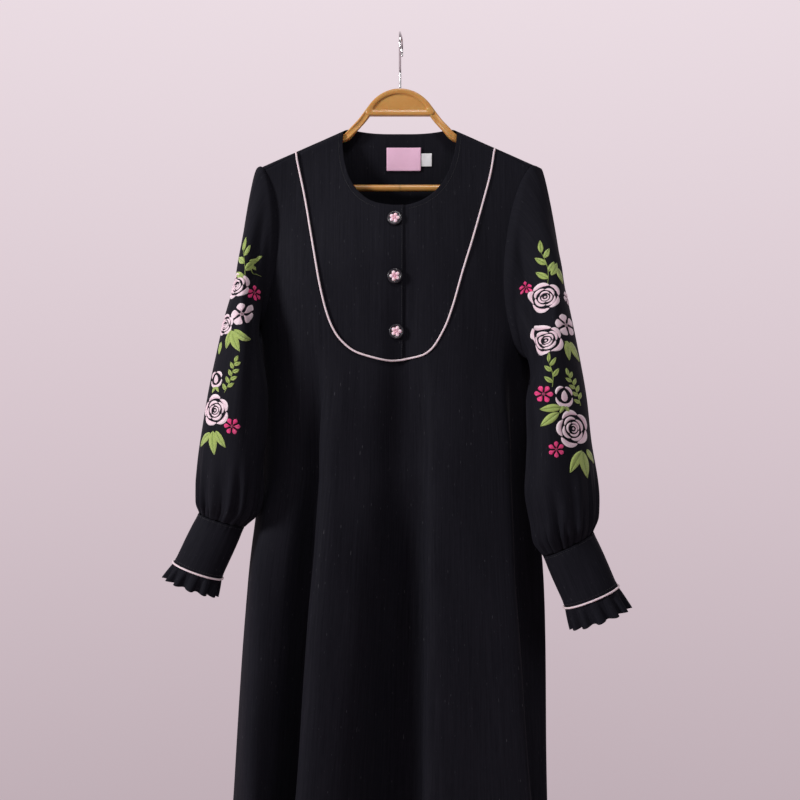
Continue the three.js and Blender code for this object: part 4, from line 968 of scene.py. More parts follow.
def cuff_line(side, along, turn, out):
    """A ring of points on the wall, moved out from its middle, and its outward directions."""
    outer, inner, _ = cuff_ring(side, along / cuff_length(side))
    ring = cuff_place(side, along, turn)
    away = unit(ring - (outer + inner) / 2)
    return ring + away * out, away


def cuff_grid(side, start, end, rows, columns, scallop=0.0):
    """Rows down the wall, columns round it. The free edge dips a little at each tab."""
    turn = np.linspace(0, 1, columns)
    share = np.linspace(0, 1, rows)[:, None]
    dip = scallop * (0.5 + 0.5 * np.cos(2 * np.pi * GATHERS * turn)) - scallop / 2
    along = mix(start, end, share) + dip[None] * share**3
    p = cuff_place(side, along, turn[None])
    outer, inner, _ = cuff_ring(side, along / cuff_length(side))
    n = grid_normals(p, (outer + inner) / 2)
    n[:, -1] = n[:, 0]
    p[:, -1] = p[:, 0]
    return p, n, cloth_lengths(p)


cuffs, ruffles = {}, {}
for side in ("left", "right"):
    long, wearer = cuff_length(side), WEARER[side]
    cuffs[side] = sheet_mesh(
        f"cuff_{wearer}_cloth", [cuff_grid(side, SEAM_GAP + 1, long, 60, 241)], crepe, WALL)
    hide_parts(f"cuff_{wearer}")
    edge = long + CUFFS[side][6] - 1
    ruffles[side] = sheet_mesh(
        f"ruffle_{wearer}_cloth", [cuff_grid(side, long + SEAM_GAP, edge, 26, 417, 2.0)],
        crepe, WALL * 0.8)
    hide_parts(f"ruffle_{wearer}")
    print("cuff", wearer, round(long, 1), "mm long")

# %% [markdown]
# ## Piping
# Piping is a cord inside a folded satin strip, sewn into a seam. Here it is a round sweep: rings
# of points round a path, with the path's own up direction from the cloth it lies on. Closed
# paths repeat their first ring, and open ones end in a point, so the tube has no holes.

# %% Tubes
ROUND = np.linspace(0, 2 * np.pi, 13)


def tube_grid(path, up, radius, closed=False, section=None):
    """Rows along the path, columns round it: the path plus radius times cos a sideways and sin a
    upwards. An open end adds a smaller ring and a point at its middle."""
    ahead = np.gradient(path, axis=0)
    if closed:
        ahead[0] = ahead[-1] = path[1] - path[-2]
    ahead = unit(ahead)
    side = unit(np.cross(ahead, up))
    top = np.cross(side, ahead)
    across, high = (np.cos(ROUND), np.sin(ROUND)) if section is None else section
    radius = np.broadcast_to(np.asarray(radius, float), (len(path),))[:, None, None]
    ring = side[:, None] * across[None, :, None] + top[:, None] * high[None, :, None]
    p, n = path[:, None] + radius * ring, unit(ring)
    arc = arc_along(path)
    if not closed:
        size = radius[0, 0, 0]
        caps = []
        for end, way in ((0, -1), (-1, 1)):
            shrunk = path[end] + way * ahead[end] * size * 0.5 + (p[end] - path[end]) * 0.7
            point = path[end] + way * ahead[end] * size * 0.75 + 0 * p[end]
            caps.append(np.stack([point, shrunk][::-way]))
        p = np.concatenate([caps[0], p, caps[1]])
        n = np.concatenate([n[:1], n[:1], n, n[-1:], n[-1:]])
        arc = np.pad(arc, 2, "edge")
    turn = np.linspace(0, 2 * np.pi * float(radius.mean()), p.shape[1])
    return p, n, np.stack(np.meshgrid(turn, arc), -1) * MM


def even(path, count):
    """The same path with its points the same distance apart."""
    arc = arc_along(path)
    at = np.linspace(0, arc[-1], count)
    return np.stack([np.interp(at, arc, path[:, i]) for i in range(path.shape[1])], -1)


satin_finish = Finish(
    "piping satin", Specular_IOR_Level=0.45, Sheen_Weight=0.25, Sheen_Roughness=0.4,
    Subsurface_Weight=0.06,
)
twill = satin_finish.bands("DIAGONAL", 330.0, 0.6)
puckers = satin_finish.noise(satin_finish.cloth_place(30, 190), 1.0, 2.0, 0.5)
satin_shade = satin_finish.blend(
    twill * 0.3 + puckers * 0.7, (0.60, 0.43, 0.47), (0.83, 0.70, 0.73))
satin_relief = satin_finish.bump(puckers, 0.6, 0.0008)
satin = satin_finish.feed(
    Base_Color=satin_shade, Roughness=puckers.ramp(0.2, 0.8, 0.38, 0.56),
    Normal=satin_finish.bump(twill, 0.25, 0.0002, satin_relief),
)

PIPING_RADIUS = 1.4
PIPING_OUT = WALL / 2 + SEAM_GAP + PIPING_RADIUS
places = even(bib_seam(np.linspace(0, BIB_LAST, 1200)), 420)
lift = LIFT * (1 - smooth(SEAM_AT_NECK, SEAM_AT_TIP, places[:, 0]))
seam_path, seam_up = body_point(True, places[:, 0], places[:, 1], PIPING_OUT - 0.5 + lift)
bib_piping = sheet_mesh(
    "bib_piping_satin", [tube_grid(seam_path, seam_up, PIPING_RADIUS)], satin, closed=True)
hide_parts("bib_piping")
for side in ("left", "right"):
    path, away = cuff_line(
        side, cuff_length(side) - 1, np.linspace(0, 1, 241), PIPING_OUT - 0.4)
    path[-1], away[-1] = path[0], away[0]
    sheet_mesh(
        f"cuff_piping_{WEARER[side]}_satin", [tube_grid(path, away, PIPING_RADIUS, True)], satin,
        closed=True)
    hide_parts(f"cuff_piping_{WEARER[side]}")
print("bib piping:", len(bib_piping.data.polygons), "faces")

# %% [markdown]
# ## Embroidery
# Both sleeves carry a climbing spray of roses, small flowers, buds and leaves in satin stitch:
# shiny threads laid side by side, so each leaf or petal is a low dome with fine lines across
# it. Painting it on the cloth would look flat up close, so every petal is a small grid that lies
# on the sleeve's own surface. A table gives each motif's place in the picture, its size in
# millimetres and its angle, and small formulas give the shapes. Each motif starts at the point
# of the sleeve that is seen at its place, and its own points walk from there over the cloth, so
# it wraps round the arm. Colour and thread direction go along as an attribute and a UV map.

# %% Embroidery: shapes
PINK_PALE, PINK_DEEP, HOT = (0.97, 0.84, 0.89), (0.84, 0.58, 0.68), (0.97, 0.06, 0.27)
HOT_DARK, GREEN, GREEN_DARK = (0.62, 0.02, 0.14), (0.45, 0.58, 0.15), (0.22, 0.34, 0.07)
KNOT = (0.16, 0.03, 0.07)
RISE, STEM_WIDTH = 1.0, 0.9


def patch(a, b, dome, inner, outer, shade, slant=0.6):
    """One satin-stitched shape: a and b in millimetres, dome from 0 at the edge to 1, the colour
    mixed by shade. Threads run slanted from the shape's spine, given by the grid's columns."""
    tint = mix(np.array(inner), np.array(outer), np.clip(shade, 0, 1)[..., None])
    tint = np.concatenate([tint, np.ones((*a.shape, 1))], -1)
    wide = np.linspace(-1, 1, a.shape[1])[None] * np.ptp(a) / 2
    long = np.linspace(0, 1, a.shape[0])[:, None] * np.ptp(b)
    thread = np.stack([long + slant * np.abs(wide), wide + 0 * long], -1) * MM
    return [a, b, 0.12 + RISE * np.clip(dome, 0, 1) ** 0.55, tint, thread]


def turned_patch(shape, angle, at=(0.0, 0.0)):
    """The shape turned by an angle in degrees, anticlockwise, and moved."""
    a, b, high, tint, thread = shape
    c, s = np.cos(np.radians(angle)), np.sin(np.radians(angle))
    return [a * c - b * s + at[0], a * s + b * c + at[1], high, tint, thread]


def grid_of(low, high, rows, columns):
    """u from 0 to 1 down the rows, w from low to high along the columns."""
    return np.meshgrid(
        np.linspace(0, 1, rows), np.linspace(low, high, columns), indexing="ij")


def blade(length, width, inner, outer, point=0.75):
    """A leaf or petal along +b: its half width is a sine of the length to a power. A power
    under 1 is widest near the foot, one over 1 near the tip."""
    u, w = grid_of(-1, 1, 15, 9)
    half = width / 2 * np.sin(np.pi * np.clip(u, 0.004, 0.996) ** point) ** 0.7
    return patch(half * w, length * u, (1 - w * w) * np.sin(np.pi * u) ** 0.5, inner, outer,
                 u * 0.75 + 0.25 * (1 - w * w))


def knot(radius, inner, outer, shade, rings=5, spokes=13):
    """A small dome in the middle of a flower."""
    r, t = np.meshgrid(
        np.linspace(0.02, 1, rings), np.linspace(0, 2 * np.pi, spokes), indexing="ij")
    return patch(radius * r * np.cos(t), radius * r * np.sin(t), 1 - r * r, inner, outer,
                 shade * r)


def leaf(length, width, lean=0.0):
    """Two halves of a blade with a dark vein between them."""
    made = []
    for side in (-1, 1):
        u, w = grid_of(0, 1, 14, 6)
        half = width / 2 * np.sin(np.pi * np.clip(u, 0.004, 0.996) ** 0.8) ** 0.85
        a = side * (0.12 + half * w) + lean * np.sin(np.pi * u)
        dome = np.sin(np.pi * np.clip(0.08 + 0.92 * w, 0, 1)) * np.sin(np.pi * u) ** 0.4
        made.append(patch(a, length * u, dome, GREEN_DARK, GREEN,
                          0.35 + 0.65 * (0.3 + 0.7 * w) * (1 if side > 0 else 0.85)))
    return made


def blossom(radius, count, inner, outer):
    """Blunt petals round a domed knot."""
    wide = radius * (0.80 if count == 5 else 0.56)
    petal = blade(radius * 0.88, wide, inner, outer, 1.9)
    made = []
    for k in range(count):
        angle = 360.0 * k / count
        way = np.array([-np.sin(np.radians(angle)), np.cos(np.radians(angle))])
        made.append(turned_patch(petal, angle, way * radius * 0.16))
    return [*made, knot(radius * 0.17, KNOT, outer, 0.5)]


def crescent(radius, thick, start, span):
    """A curved petal of a rose: an arc whose thickness swells in its middle."""
    u, w = grid_of(-1, 1, 15, 6)
    swell = np.sin(np.pi * np.clip(u, 0.01, 0.99)) ** 0.55
    r = radius * (0.97 + 0.09 * np.sin(np.pi * u)) + thick / 2 * swell * w
    t = np.radians(start + span * u)
    return patch(r * np.cos(t), r * np.sin(t), (1 - w * w) * swell, PINK_DEEP, PINK_PALE,
                 0.55 + 0.45 * w, 0.2)


def rose(radius, spin=0.0):
    """Rings of crescents round a small whorl, with dark cloth between them."""
    made = []
    rings = ((0.84, 0.29, 5, 0.0), (0.55, 0.19, 4, 40.0), (0.34, 0.14, 3, 15.0))
    for place, thick, count, start in rings:
        for k in range(count):
            step = 360.0 / count
            wobble = 1 + 0.05 * np.sin(2.4 * k + spin)
            made.append(crescent(radius * place * wobble, radius * thick,
                                 spin + start + k * step, step * 0.97))
    return [*made, crescent(radius * 0.19, radius * 0.11, spin + 20, 250),
            knot(radius * 0.07, PINK_DEEP, PINK_PALE, 1.0, 4, 11)]


def bud(radius):
    """A closed flower: a pale heart in three cupped crescents, on two small sepals."""
    cups = ((0.8, 0.34, 190, 165), (0.78, 0.3, 10, 75), (0.78, 0.3, 96, 75))
    made = [crescent(radius * place, radius * thick, start, span)
            for place, thick, start, span in cups]
    made.append(turned_patch(blade(radius, radius * 0.62, PINK_DEEP, PINK_PALE), 0,
                             (0, -radius * 0.5)))
    sepal = blade(radius * 0.9, radius * 0.36, GREEN_DARK, GREEN)
    return made + [turned_patch(sepal, angle, (0, -radius * 0.75)) for angle in (150, 210)]


def stem(length, bend):
    """A thin line of stem stitch along +b, bowed sideways."""
    u, w = grid_of(-1, 1, 16, 4)
    half = STEM_WIDTH / 2 * np.sin(np.pi * np.clip(u, 0.03, 0.97)) ** 0.25
    return patch(half * w + bend * np.sin(np.pi * u), length * u, (1 - w * w) * 0.5,
                 GREEN_DARK, GREEN, 0.6 + 0 * u)


def sprig(length, bend, leaves, size, width):
    """A stem with leaves in turn on its two sides and one at its tip."""
    made = [stem(length, bend)]
    for k in range(leaves):
        u = (k + 0.8) / (leaves + 0.6)
        side = 1 if k % 2 else -1
        at = (bend * np.sin(np.pi * u), length * u)
        made += [turned_patch(half, -side * 46, at) for half in leaf(size, width, side * 0.3)]
    made += [turned_patch(half, -8, (0, length)) for half in leaf(size, width)]
    return made


print("a rose has", len(rose(20.0)), "stitched shapes")

# %% Embroidery: the two sprays
SPRAY = {  # kind, column, row, size in mm, angle in degrees anticlockwise from upright
    "left": [
        ("sprig", 243, 285, 54, 10), ("leaf", 249, 262, 20, -62), ("curl", 251, 266, 20, 215),
        ("rose", 236.5, 286, 18.5, 10), ("hot", 254, 293, 10.5, 0), ("pale", 241.5, 314, 15.5, 14),
        ("rose", 225, 325, 15, 30), ("leaf", 234, 330, 29, 236), ("leaf", 232, 331, 32, 205),
        ("leaf", 231, 330, 26, 170), ("leaf", 221, 342, 18, 180), ("fern", 224, 393, 45, -17),
        ("bud", 216.5, 379, 12.5, 6), ("rose", 215.5, 410, 21.5, 60), ("hot", 231.5, 426, 11, 25),
        ("leaf", 213, 431, 33, 184), ("leaf", 215.5, 431, 27, 212), ("leaf", 210.5, 432, 27, 140),
    ],
    "right": [
        ("sprig", 547, 284, 50, 12), ("leaf", 551, 275, 24, -28), ("leaf", 557, 268, 24, 188),
        ("hot", 526, 287, 9, 12), ("rose", 545.5, 298, 21.5, 0), ("pale", 566, 299, 10, 30),
        ("pale", 565, 325, 15.5, 8), ("curl", 534, 331, 18, 20), ("rose", 545.5, 341, 21.5, 75),
        ("leaf", 566, 341, 27, 176), ("leaf", 569, 342, 30, 205), ("leaf", 564, 341, 18, 232),
        ("sprig", 552, 387, 36, 6), ("fern", 580, 406, 44, 16), ("hot", 543, 394, 11.5, 30),
        ("bud", 563.5, 396, 15.5, -4), ("leaf", 561, 407, 29, 96), ("leaf", 558, 413, 31, 128),
        ("rose", 572.5, 429, 24.5, 40), ("hot", 555.5, 450, 10.5, 0), ("leaf", 581, 451, 35, 146),
        ("leaf", 582, 452, 36, 186), ("leaf", 586, 450, 24, 216),
    ],
}
KINDS = {
    "sprig": lambda size: sprig(size, size * 0.09, 4, size * 0.40, size * 0.17),
    "fern": lambda size: sprig(size, size * 0.06, 8, size * 0.24, size * 0.12),
    "rose": lambda size: rose(size, size * 7),
    "hot": lambda size: blossom(size, 6, HOT_DARK, HOT),
    "pale": lambda size: blossom(size, 5, PINK_DEEP, PINK_PALE),
    "bud": bud,
    "leaf": lambda size: leaf(size, size * 0.36, size * 0.03),
    "curl": lambda size: [stem(size, size * 0.35), *leaf(size * 0.5, size * 0.22)],
}


def find_on_sleeve(side, spots):
    """t and turn for each picture place: the nearest point of the sleeve that faces the
    camera."""
    ts, turns = np.linspace(0.06, 0.98, 230), np.linspace(0.02, 0.98, 240)
    t, turn = np.meshgrid(ts, turns, indexing="ij")
    p, n = sleeve_point(side, t, turn)
    column, row = to_pixels(p)
    eye = np.array([0, -STAND_OFF, EYE_Z]) / MM
    seen = np.sum(n * unit(eye - p), -1) > 0.12
    far = [np.where(seen, np.hypot(column - x, row - y), 1e9) for x, y in spots]
    i, j = np.array([np.unravel_index(np.argmin(f), f.shape) for f in far]).T
    return ts[i], turns[j]


def walk_on_sleeve(side, t, turn, right_by, up_by, steps=8):
    """Walks millimetres right and up over the cloth, in short steps, since the sleeve's rings
    slant and its slopes change within one motif. The sleeve without folds is used, so the folds
    don't distort the motifs, and where the cloth turns away the walk goes up to 1.6 times as
    far, as the motifs were set on the arm's flat side."""
    reach, outward = 0.01, None
    for _ in range(steps):
        low, high = np.clip(t - reach, 0, 1), np.clip(t + reach, 0, 1)
        along = (sleeve_place(side, high, turn, 0.0) - sleeve_place(side, low, turn, 0.0)
                 ) / (high - low)[:, None]
        around = (sleeve_place(side, t, (turn + reach) % 1, 0.0)
                  - sleeve_place(side, t, (turn - reach) % 1, 0.0)) / (2 * reach)
        n = unit(np.cross(around, along))
        outward = np.where(n[:, 1:2] > 0, -1, 1) if outward is None else outward
        n = n * outward
        up = unit(np.array([0, 0, 1.0]) - n * n[:, 2:3])
        right = np.cross(up, n)
        rows = [np.stack([np.sum(along * way, -1), np.sum(around * way, -1)], -1)
                for way in (right, up)]
        wider = 1 / np.clip(right[:, 0], 0.62, 1)
        move = np.stack([right_by * wider, up_by], -1)[..., None] / steps
        move = (np.linalg.inv(np.stack(rows, 1)) @ move)[..., 0]
        t, turn = np.clip(t + move[:, 0], 0.02, 0.985), (turn + move[:, 1]) % 1
    return t, turn


thread_finish = Finish(
    "embroidery thread", Specular_IOR_Level=0.5, Sheen_Weight=0.12, Sheen_Roughness=0.3)
dye = thread_finish.node("ShaderNodeVertexColor", {"layer_name": "tint"})
strand = thread_finish.bands("X", 520.0, 1.2, 1.5)
twist = thread_finish.noise(thread_finish.cloth_place(2200, 500), 1.0, 2.0, 0.5)
# Where the strand bands dip, the thread's dye is darkened to about two thirds: painted shade in the
# grooves between the strands.
gap = (strand * 0.7 + twist * 0.3).ramp(0.08, 0.55)
painted_groove_shade = thread_finish.node(
    "ShaderNodeMix", {"data_type": "RGBA", "blend_type": "MULTIPLY"},
    {0: 1.0, 6: dye, 7: (0.66, 0.62, 0.64, 1.0)}, 2)
thread = thread_finish.feed(
    Base_Color=thread_finish.blend(gap, painted_groove_shade, dye),
    Roughness=strand.ramp(0.0, 1.0, 0.52, 0.30),
    Normal=thread_finish.bump(strand * 0.8 + twist * 0.2, 0.7, 0.0004),
)

for side in ("left", "right"):
    table = SPRAY[side]
    t0, turn0 = find_on_sleeve(side, [(x, y) for _, x, y, _, _ in table])
    shapes = [(row, turned_patch(shape, angle)) for row, (kind, _, _, size, angle)
              in enumerate(table) for shape in KINDS[kind](size)]
    which = np.concatenate([np.full(shape[0].size, row) for row, shape in shapes])
    a, b, high = (np.concatenate([shape[k].ravel() for _, shape in shapes]) for k in range(3))
    t, turn = walk_on_sleeve(side, t0[which], turn0[which], a, b)
    p, n = sleeve_point(side, t, turn, WALL / 2 + high)
    ends = np.cumsum([shape[0].size for _, shape in shapes])[:-1]
    grids = [(q.reshape(*shape[0].shape, 3), m.reshape(*shape[0].shape, 3), shape[4])
             for q, m, (_, shape) in zip(np.split(p, ends), np.split(n, ends), shapes)]
    tints = [shape[3] for _, shape in shapes]
    name = f"embroidery_{WEARER[side]}"
    sheet_mesh(name, grids, thread, merge=0, tint=tints)

# %% [markdown]
# ## Stitching
# Fine black stitches hold the neck's facing, the placket, the cuffs and the hem. Each one is a
# small bead of thread, and one template is copied along a line of places, all in one array.

# %% Stitches
seam_thread_finish = Finish("sewing thread", Specular_IOR_Level=0.4, Sheen_Weight=0.1)
ply = seam_thread_finish.noise(seam_thread_finish.room_place((3000, 3000, 900)), 1.0, 2.0, 0.5)
seam_thread = seam_thread_finish.feed(
    Base_Color=seam_thread_finish.blend(ply, (0.003, 0.003, 0.004), (0.014, 0.014, 0.018)),
    Roughness=ply.ramp(0.3, 0.7, 0.4, 0.6),
    Normal=seam_thread_finish.bump(ply, 0.4, 0.0002),
)


def stitch_row(points, normals, long=2.2, thick=0.28):
    """A capsule at each point, along the line: rings of a rounded profile, six points round."""
    ahead = unit(np.gradient(points, axis=0))
    side = np.cross(ahead, normals)
    u = np.linspace(-1, 1, 5)
    width = thick * np.sqrt(np.clip(1 - (u * 0.999) ** 4, 0, 1))
    a = np.linspace(0, 2 * np.pi, 7)
    along = (long / 2 * u)[:, None] + 0 * a
    local = np.stack([along, width[:, None] * np.cos(a), width[:, None] * np.sin(a)], -1)
    frames = np.stack([ahead, side, normals], 1)
    made = points[:, None, None] + np.einsum("ijk,nkl->nijl", local, frames)
    return [(p, p - c, local[..., :2] * MM) for p, c in zip(made, points)]


def body_line(front, s, v, out, pitch=3.2):
    """Stitches along a line of s, v places on the body."""
    coarse, _ = body_point(front, s, v)
    arc = arc_along(coarse)
    at = np.linspace(0, arc[-1], max(3, int(arc[-1] / pitch)))
    p, n = body_point(front, np.interp(at, arc, s), np.interp(at, arc, v), out)
    return stitch_row(p, n)


rows_of_thread = []
ABOVE = WALL / 2 + 0.1
for turns, upper_half in ((np.linspace(0.03, 1.45, 90), 1), (np.linspace(1.75, 3.11, 90), 0)):
    line = neck_down(True, turns)
    step = unit(np.gradient(line, axis=0))
    s, v = line[:, 0] - 6 * step[:, 1], line[:, 1] + 6 * step[:, 0]
    rows_of_thread += body_line(True, s, v, ABOVE + upper_half * placket_lift(s).mean())
placket_top = float(neck_down(True, np.array([1.45]))[0, 1]) + 5
placket_foot = float(bib_seam(bib_seam_at(PLACKET_EDGE))[1]) - 4
v = np.linspace(placket_top, placket_foot, 60)
rows_of_thread += body_line(True, np.full(60, PLACKET_EDGE - 2.5), v, ABOVE + LIFT)
for front in (True, False):
    s = np.linspace(-198, 198, 500)
    rows_of_thread += body_line(front, s, down_to(s, HEM + 22), ABOVE, 4.0)
for side in ("left", "right"):
    for along in (4.0, cuff_length(side) - 6):
        turn = np.linspace(0, 1, 66)[:-1]
        rows_of_thread += stitch_row(*cuff_line(side, along, turn, ABOVE))
stitching = sheet_mesh("stitching", rows_of_thread, seam_thread, closed=True)
print("stitches:", len(rows_of_thread), "with", len(stitching.data.polygons), "faces")

# %% [markdown]
# ## Buttons and their flowers
# Each button is a dark moulded disc with a rounded rim and a shallow dish, turned on a lathe, so
# a profile swept round an axis fits it exactly. A small pale flower is glued in the dish: five
# domed petals round a bead. Its height is one formula of angle and radius.

# %% Buttons
BUTTONS = [(-7.6, -276.0), (-7.2, -357.0), (-5.0, -434.0)]
FLOWER_RADIUS, FLOWER_THICK, FLOWER_BASE, BEAD = 7.6, 2.0, 2.75, 0.24
button_profile = np.array([  # radius, height
    (0, 0), (7.5, 0), (9.6, 0.5), (10.4, 1.5), (10.3, 2.6), (9.6, 3.4), (8.7, 3.6), (7.9, 3.3),
    (7.2, 2.7), (5.5, 2.45), (2.5, 2.4), (0, 2.4),
])
button_finish = Finish("button", Coat_Weight=0.35, Coat_Roughness=0.12, Specular_IOR_Level=0.5)
swirl = button_finish.noise(button_finish.room_place((260, 260, 190)), 1.0, 3.0, 0.55)
scuff = button_finish.noise(button_finish.room_place((1500, 1500, 1500)), 1.0, 2.0, 0.6)
button_black = button_finish.feed(
    Base_Color=button_finish.blend(swirl, (0.006, 0.005, 0.008), (0.022, 0.019, 0.026)),
    Roughness=scuff.ramp(0.3, 0.7, 0.24, 0.42),
    Normal=button_finish.bump(scuff, 0.2, 0.0002),
)
flower_finish = Finish(
    "button flower", Specular_IOR_Level=0.45, Subsurface_Weight=0.15, Subsurface_Scale=0.004)
flower_tint = flower_finish.node("ShaderNodeVertexColor", {"layer_name": "tint"})
grain = flower_finish.noise(flower_finish.room_place((900, 900, 900)), 1.0, 2.0, 0.5)
flower_pink = flower_finish.feed(
    Base_Color=flower_finish.blend(grain * 0.2, flower_tint, (0.92, 0.80, 0.84)),
    Roughness=grain.ramp(0.3, 0.7, 0.34, 0.5),
    Normal=flower_finish.bump(grain, 0.15, 0.0002),
)


def turned(profile):
    """A lathe: each profile point goes round the axis. Returns local points and normals."""
    fine = through(np.arange(len(profile)), profile, np.linspace(0, len(profile) - 1, 45))
    fine[:, 0] = np.maximum(fine[:, 0], 0)
    fine[0, 0] = fine[-1, 0] = 0
    a = np.linspace(0, 2 * np.pi, 49)
    r, z = fine[:, :1], fine[:, 1:] + 0 * a
    p = np.stack([r * np.cos(a), r * np.sin(a), z], -1)
    return p, p - np.array([0, 0, profile[:, 1].mean()])


def petals(count, radius, thick, base):
    """A crowned flower: the outline's radius swells at each petal, the height is a dome that
    falls towards the outline and between the petals, with a bead in the middle."""
    a = np.linspace(0, 2 * np.pi, 121)
    r = np.concatenate([np.linspace(0, 1, 22), [1.0, 0.9, 0.5, 0.0]])[:, None]
    lobe = np.abs(np.cos(count * a / 2)) ** 0.8
    size = radius * (0.58 + 0.42 * lobe)
    cup = smooth(BEAD * 0.8, BEAD * 1.5, r) * (0.35 + 0.65 * lobe)
    high = thick * (0.25 + 0.75 * np.sqrt(np.clip(1 - (2 * r - 1) ** 2, 0, 1)) * cup)
    high = np.maximum(high, thick * 1.15 * np.sqrt(np.clip(1 - (r / BEAD) ** 2, 0, 1)))
    high = high * (1 - smooth(0.93, 1.0, r))
    under = np.arange(26)[:, None] >= 22
    high = np.where(under, -0.4, high)
    p = np.stack([r * size * np.cos(a), r * size * np.sin(a), base + high], -1)
    shade = np.clip(0.15 + 0.85 * smooth(0.1, 0.8, r) * (0.4 + 0.6 * lobe), 0, 1)[..., None]
    tint = mix(np.array([0.62, 0.16, 0.28]), np.array([0.86, 0.66, 0.72]), shade)
    tint = np.where((r < BEAD)[..., None], np.array([0.80, 0.50, 0.58]), tint)
    return p, np.concatenate([tint, np.ones((*tint.shape[:2], 1))], -1)


for number, (s, z) in enumerate(BUTTONS, 1):
    away = WALL / 2 + LIFT + SEAM_GAP + 0.1
    foot, normal = body_point(True, s, down_to(s, z), away)
    across = unit(np.cross(np.array([0, 0, 1.0]), normal))
    stand = np.stack([across, np.cross(normal, across), normal])
    local, out = turned(button_profile)
    flat = local[..., :2] * MM
    disc = sheet_mesh(f"button_{number}_disc", [(foot + local @ stand, out @ stand, flat)],
                      button_black, closed=True)
    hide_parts(f"button_{number}")
    local, tint = petals(5, FLOWER_RADIUS, FLOWER_THICK, FLOWER_BASE)
    spun = stand if number != 2 else np.stack([stand[0] * 0.8 + stand[1] * 0.6,
                                               stand[1] * 0.8 - stand[0] * 0.6, stand[2]])
    crown = sheet_mesh(f"button_{number}_crown",
                       [(foot + local @ spun, local @ spun + normal, local[..., :2] * MM)],
                       flower_pink, closed=True, tint=[tint])
    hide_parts(f"button_{number}_flower")
print("buttons:", len(BUTTONS))

# %% [markdown]
# ## Labels
# Inside the back neck lie a pink woven label and a small white tag, both left bare. They are
# strips of ribbon with folded ends, so each is a small grid on the back panel's inner face with
# a slight bow, and a weave of fine ribs across it.

# %% Labels


def ribbon(name, node, s_range, z_range, inwards, colours, ribs):
    """A woven strip on the back panel's inner side: it bows away by half a millimetre between
    its sewn ends, and its edges roll back slightly."""
    s, z = np.meshgrid(np.linspace(*s_range, 40), np.linspace(*z_range, 30))
    v = down_to(s, z)
    a = (s - s_range[0]) / (s_range[1] - s_range[0])
    b = (z - z_range[0]) / (z_range[1] - z_range[0])
    bow = 0.5 * np.sin(np.pi * a) * np.sin(np.pi * b * 0.8 + 0.3) + 0.25 * np.sin(7 * a + 2 * b)
    p, n = body_point(False, s, v, -inwards - bow)
    finish = Finish(f"{name} weave", Specular_IOR_Level=0.4, Sheen_Weight=0.2)
    rib = finish.bands("Y", ribs, 0.4, 1.0)
    warp = finish.noise(finish.cloth_place(2600, 160), 1.0, 2.0, 0.5)
    cloudy = finish.noise(finish.cloth_place(60, 60), 1.0, 2.0, 0.5)
    low, high = colours
    material = finish.feed(
        Base_Color=finish.blend(rib * 0.35 + warp * 0.3 + cloudy * 0.35, low, high),
        Roughness=rib.ramp(0.0, 1.0, 0.62, 0.42),
        Normal=finish.bump(rib * 0.6 + warp * 0.4, 0.5, 0.0003),
    )
    uv = np.stack([s, z], -1) * MM
    made = sheet_mesh(name, [(p, -n, uv)], material, 0.6)
    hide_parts(node)
    return made


neck_label = ribbon("neck_label_ribbon", "neck_label", (-19.5, 30.5), (-162, -194),
                    WALL / 2 + SEAM_GAP + 1.8, ((0.72, 0.40, 0.58), (0.90, 0.60, 0.76)), 420.0)
size_label = ribbon("size_label_tape", "size_label", (27, 46.5), (-170, -188),
                    WALL / 2 + SEAM_GAP + 0.7, ((0.62, 0.62, 0.64), (0.82, 0.83, 0.85)), 520.0)
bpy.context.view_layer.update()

# %% [markdown]
# ## The hanger
# The hanger is moulded in one piece of translucent amber plastic: a half-moon head with a raised
# rim, two arms with a ribbed section that slope like shoulders, and a round trouser bar. The
# arms and the bar are sweeps. The head is a stack of insets of its outline, high at the rim and
# low in the middle, which gives crisp rims without any booleans.

# %% Hanger body
HEAD_HALF, HEAD_TOP, HEAD_FOOT, HEAD_THICK, HEAD_WEB = 50.0, -79.5, -118.5, 10.0, 4.6
ROD_DROP, BAR_Z = 8.0, -223.0


def moon(inset):
    """The head's outline, closed: half of it is a straight foot, a round corner and an arch,
    the other half its mirror image. The inset shrinks it evenly."""
    half, foot, top = HEAD_HALF - 1.5 * inset, HEAD_FOOT + inset, HEAD_TOP - inset
    rise = HEAD_TOP - HEAD_FOOT - 2 * inset
    corner = min(max(6 - 0.4 * inset, 2), rise / 2)
    t = np.linspace(0, 1, 13)[:, None]
    start, bend, end = (np.array(q) for q in ((half - corner, foot), (half, foot),
                                              (half, foot + corner)))
    round_ = (1 - t) ** 2 * start + 2 * t * (1 - t) * bend + t * t * end
    t = np.linspace(0, 1, 41)[1:, None]
    c1 = np.array([0.86 * HEAD_HALF / 50 * half, foot + 0.55 * rise])
    c2 = np.array([0.5 * half, top])
    arch = (1 - t) ** 3 * end + 3 * t * (1 - t) ** 2 * c1 + 3 * t * t * (1 - t) * c2 \
        + t**3 * np.array([0, top])
    foot_line = np.stack([np.linspace(0, half - corner, 16)[:-1], np.full(15, foot)], -1)
    right = np.concatenate([foot_line, round_, arch])
    return np.concatenate([right, right[-2::-1] * [-1, 1]])


